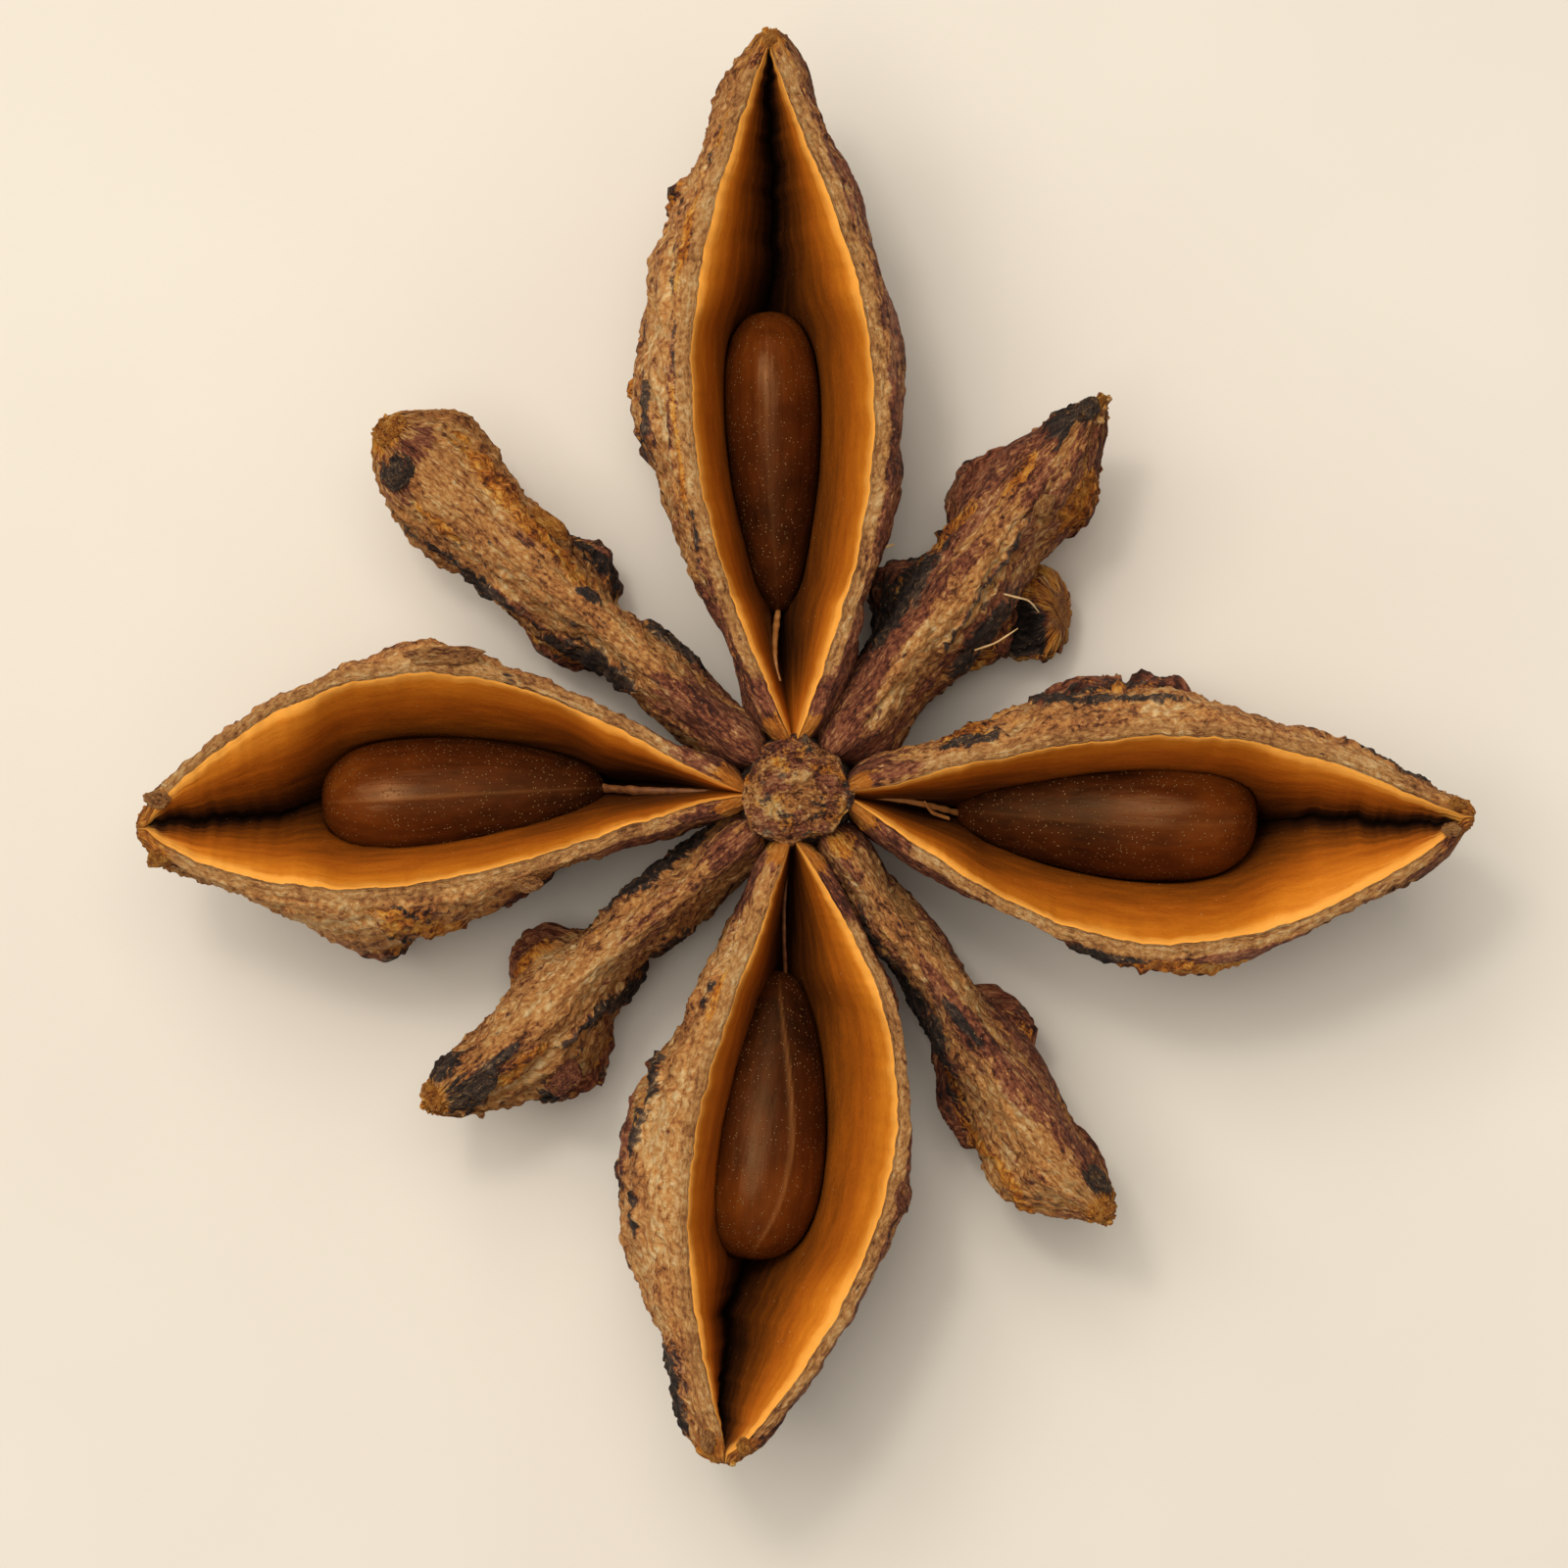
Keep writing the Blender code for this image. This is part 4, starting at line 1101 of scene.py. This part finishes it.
def make_bark():
    """Four kinds of surface with ragged borders, each darker in its pits as painted shade and lighter on
    its heights as painted light.
    """
    paint = Painter("bark")
    grain = paint.mark("grain", "Vector")
    warped = paint.warp(grain, 1.2, 0.5)
    streak = paint.noise(paint.stretch(grain, (0.4, 3.2, 3.2)), 1.6, 5, 0.65, 0.3)
    fine = paint.noise(paint.stretch(grain, (3, 5, 5)), 2, 5, 0.75)
    border = paint.noise(paint.stretch(grain, (1.6, 3.2, 3.2)), 1.3, 5, 0.7)
    granule = paint.cells(paint.stretch(warped, (0.8, 1.1, 1.1)), 5.5)
    broad = paint.noise(warped, 0.7, 3, 0.6)
    # Painted shade and light: the ramps' place follows the relief and the bump's textures, so pits are
    # darker and heights lighter
    height = paint.times(paint.mark("relief"), 0.2, 0.56)
    for texture, size, middle in ((streak, 1, 0.5), (fine, 1.7, 0.5), (granule, -0.5, 0.42),
                                  (broad, 0.9, 0.5)):
        height = paint.add(height, texture, size, middle)
    height = paint.sum("ADD", height, 0, clamp=True)
    dust = paint.rise(paint.cells(grain, 3.6), 0.18, 0.08)
    dusty = paint.rise(paint.noise(grain, 0.9, 2), 0.42, 0.56)
    base = paint.mix(paint.times(paint.times(dust, dusty), 0.75), paint.ramp(height, SKIN_TONES),
                     colour("BC8C58"))
    for mark, edge, size, low, high, tones in (
            ("cork", border, 2, 0.42, 0.58, CORK_TONES),
            ("coal", border, -1.6, 0.42, 0.58, COAL_TONES),
            ("rust", fine, 1.8, 0.38, 0.62, RUST_TONES),
            ("edge", border, 2.2, 0.55, 0.85, RIM_TONES),
            ("bare", border, 1, 0.35, 0.55, BARE_TONES)):
        cover = paint.rise(paint.add(paint.mark(mark), edge, size), low, high)
        base = paint.mix(cover, base, paint.ramp(height, tones))
    sparkle = paint.rise(paint.cells(grain, 5.5), 0.13, 0.06)
    base = paint.mix(paint.times(sparkle, 0.55), base, colour("E6BC84"))
    relief = paint.add(paint.sum("ADD", streak, paint.times(fine, 1.2)), granule, -0.6)
    return paint.finish(base, paint.times(fine, 0.25, 0.6), relief, 0.17, 0.25)


def make_lining():
    """Orange, with painted light just inside the lip and painted shade deep in the split."""
    paint = Painter("lining")
    grain = paint.mark("grain", "Vector")
    mottle = paint.noise(paint.stretch(grain, (0.7, 2.4, 2.4)), 0.9, 4, 0.6)
    fine = paint.noise(paint.stretch(grain, (4, 8, 8)), 2, 3, 0.7)
    # Painted shade: the ramp darkens deep in the split and along its crease
    place = paint.add(paint.add(paint.mark("gloom"), mottle, 0.32), fine, 0.16)
    base = paint.ramp(paint.sum("ADD", place, 0, clamp=True), LINING_SHADE_TONES)
    # Painted light: the lining is lighter just inside the lip
    painted_lip_light = paint.rise(paint.add(paint.mark("from_lip"), mottle, 0.5), 0.42, 0.1)
    base = paint.mix(paint.times(painted_lip_light, 0.8), base, colour("EAA244"))
    fleck = paint.rise(paint.cells(grain, 2), 0.06, 0.03)
    base = paint.mix(paint.times(fleck, 0.5), base, colour("E8C080"))
    relief = paint.sum("ADD", mottle, paint.times(fine, 0.5))
    return paint.finish(base, paint.times(mottle, 0.2, 0.34), relief, 0.025, 0.25, "FFD9A8")


def make_seed_coat():
    """Brown and smooth, with pale dust, painted shade at the inner end, a painted highlight along the
    raphe, and glossier towards the blunt end.
    """
    paint = Painter("seed_coat")
    grain = paint.mark("grain", "Vector")
    cloud = paint.noise(grain, 0.7, 3, 0.55)
    streak = paint.noise(paint.stretch(grain, (0.5, 4, 4)), 1, 4, 0.6)
    outer = paint.rise(paint.mark("along"), -0.6, 0.8)
    tone = paint.add(paint.add(0.3, cloud, 0.6), streak, 0.5)
    # Painted shade: the seed is darker towards its inner end, which lies deep between the walls
    base = paint.ramp(paint.sum("ADD", tone, paint.times(outer, 0.38), clamp=True), SEED_TONES)
    # Painted highlight: a lighter line along the raphe
    base = paint.mix(paint.times(paint.mark("raphe"), 0.5), base, colour("9A6434"))
    speck = paint.rise(paint.cells(grain, 4), 0.11, 0.06)
    small = paint.rise(paint.cells(grain, 8), 0.24, 0.1)
    dusty = paint.rise(paint.noise(grain, 1.4, 3, 0.7), 0.32, 0.56)
    dust = paint.times(paint.sum("MAXIMUM", speck, small), dusty)
    base = paint.mix(paint.times(dust, 0.6), base, colour("A88052"))
    gloss = paint.add(paint.times(outer, -0.3, 0.5), streak, 0.3)
    relief = paint.sum("ADD", paint.times(dust, 1.2), streak)
    return paint.finish(base, paint.times(dust, 0.4, gloss), relief, 0.02, 0.26, "FFC488")


def make_fibre():
    """Dry straw, from brown to cream by each thread's tone."""
    paint = Painter("fibre")
    streak = paint.noise(paint.mark("grain", "Vector"), 2, 3, 0.6)
    base = paint.ramp(paint.add(paint.mark("tone"), streak, 0.5), FIBRE_TONES)
    return paint.finish(base, paint.times(streak, 0.2, 0.5), streak, 0.02)


# ---- floor, lights, camera

def make_floor():
    bpy.ops.mesh.primitive_plane_add(size=2)
    floor = bpy.context.active_object
    floor.name = "floor"
    paint = Painter("floor")
    mottle = paint.noise(paint.node("TexCoord", {}, "Object"), 60, 3, 0.5)
    surface = {"Base Color": paint.ramp(mottle, FLOOR_TONES), "Roughness": 0.9}
    paint.fill(paint.tree.nodes["Principled BSDF"], surface)
    floor.data.materials.append(paint.material)


def add_to_scene(name, data, place):
    item = bpy.data.objects.new(name, data)
    bpy.context.scene.collection.objects.link(item)
    item.location = [MM * size for size in place]
    return item


def make_lights():
    for name, size, power, place in LAMPS:
        light = bpy.data.lights.new(name, "AREA")
        light.size = size * MM
        light.energy = power
        light.color = WARM
        lamp = add_to_scene(name, light, place)
        lamp.rotation_euler = (-Vector(place)).to_track_quat("-Z", "Y").to_euler()
    world = bpy.data.worlds.new("studio")
    world.use_nodes = True
    background = world.node_tree.nodes["Background"]
    background.inputs["Color"].default_value = (1, 0.96, 0.9, 1)
    background.inputs["Strength"].default_value = 0.38
    bpy.context.scene.world = world


def make_camera():
    camera = bpy.data.cameras.new("camera")
    camera.sensor_width = SENSOR
    camera.lens = SENSOR * CAMERA_UP / FIELD
    camera.clip_start = 0.005
    place = (HUB[0] + CAMERA_SHIFT[0], HUB[1] + CAMERA_SHIFT[1], LIPS_UP + CAMERA_UP)
    bpy.context.scene.camera = add_to_scene("camera", camera, place)


def main():
    bark = make_bark()
    lining = make_lining()
    seed_coat = make_seed_coat()
    skins = {}
    for name, carpel in SPLIT_CARPELS.items():
        skins[name] = split_skin(carpel, SEEDS[name])
        make_carpel(skins[name], [bark, lining])
        make_seed(name, carpel, SEEDS[name], seed_coat)
    for name, carpel in SHUT_CARPELS.items():
        skins[name] = shut_skin(carpel)
        make_carpel(skins[name], [bark])
    make_hub(bark)
    make_stalk(bark)
    make_knots(skins, bark)
    make_crumbs(skins, bark)
    make_threads(SPLIT_CARPELS | SHUT_CARPELS, make_fibre())
    make_floor()
    make_lights()
    make_camera()
    bpy.context.scene.view_settings.view_transform = "Standard"


main()
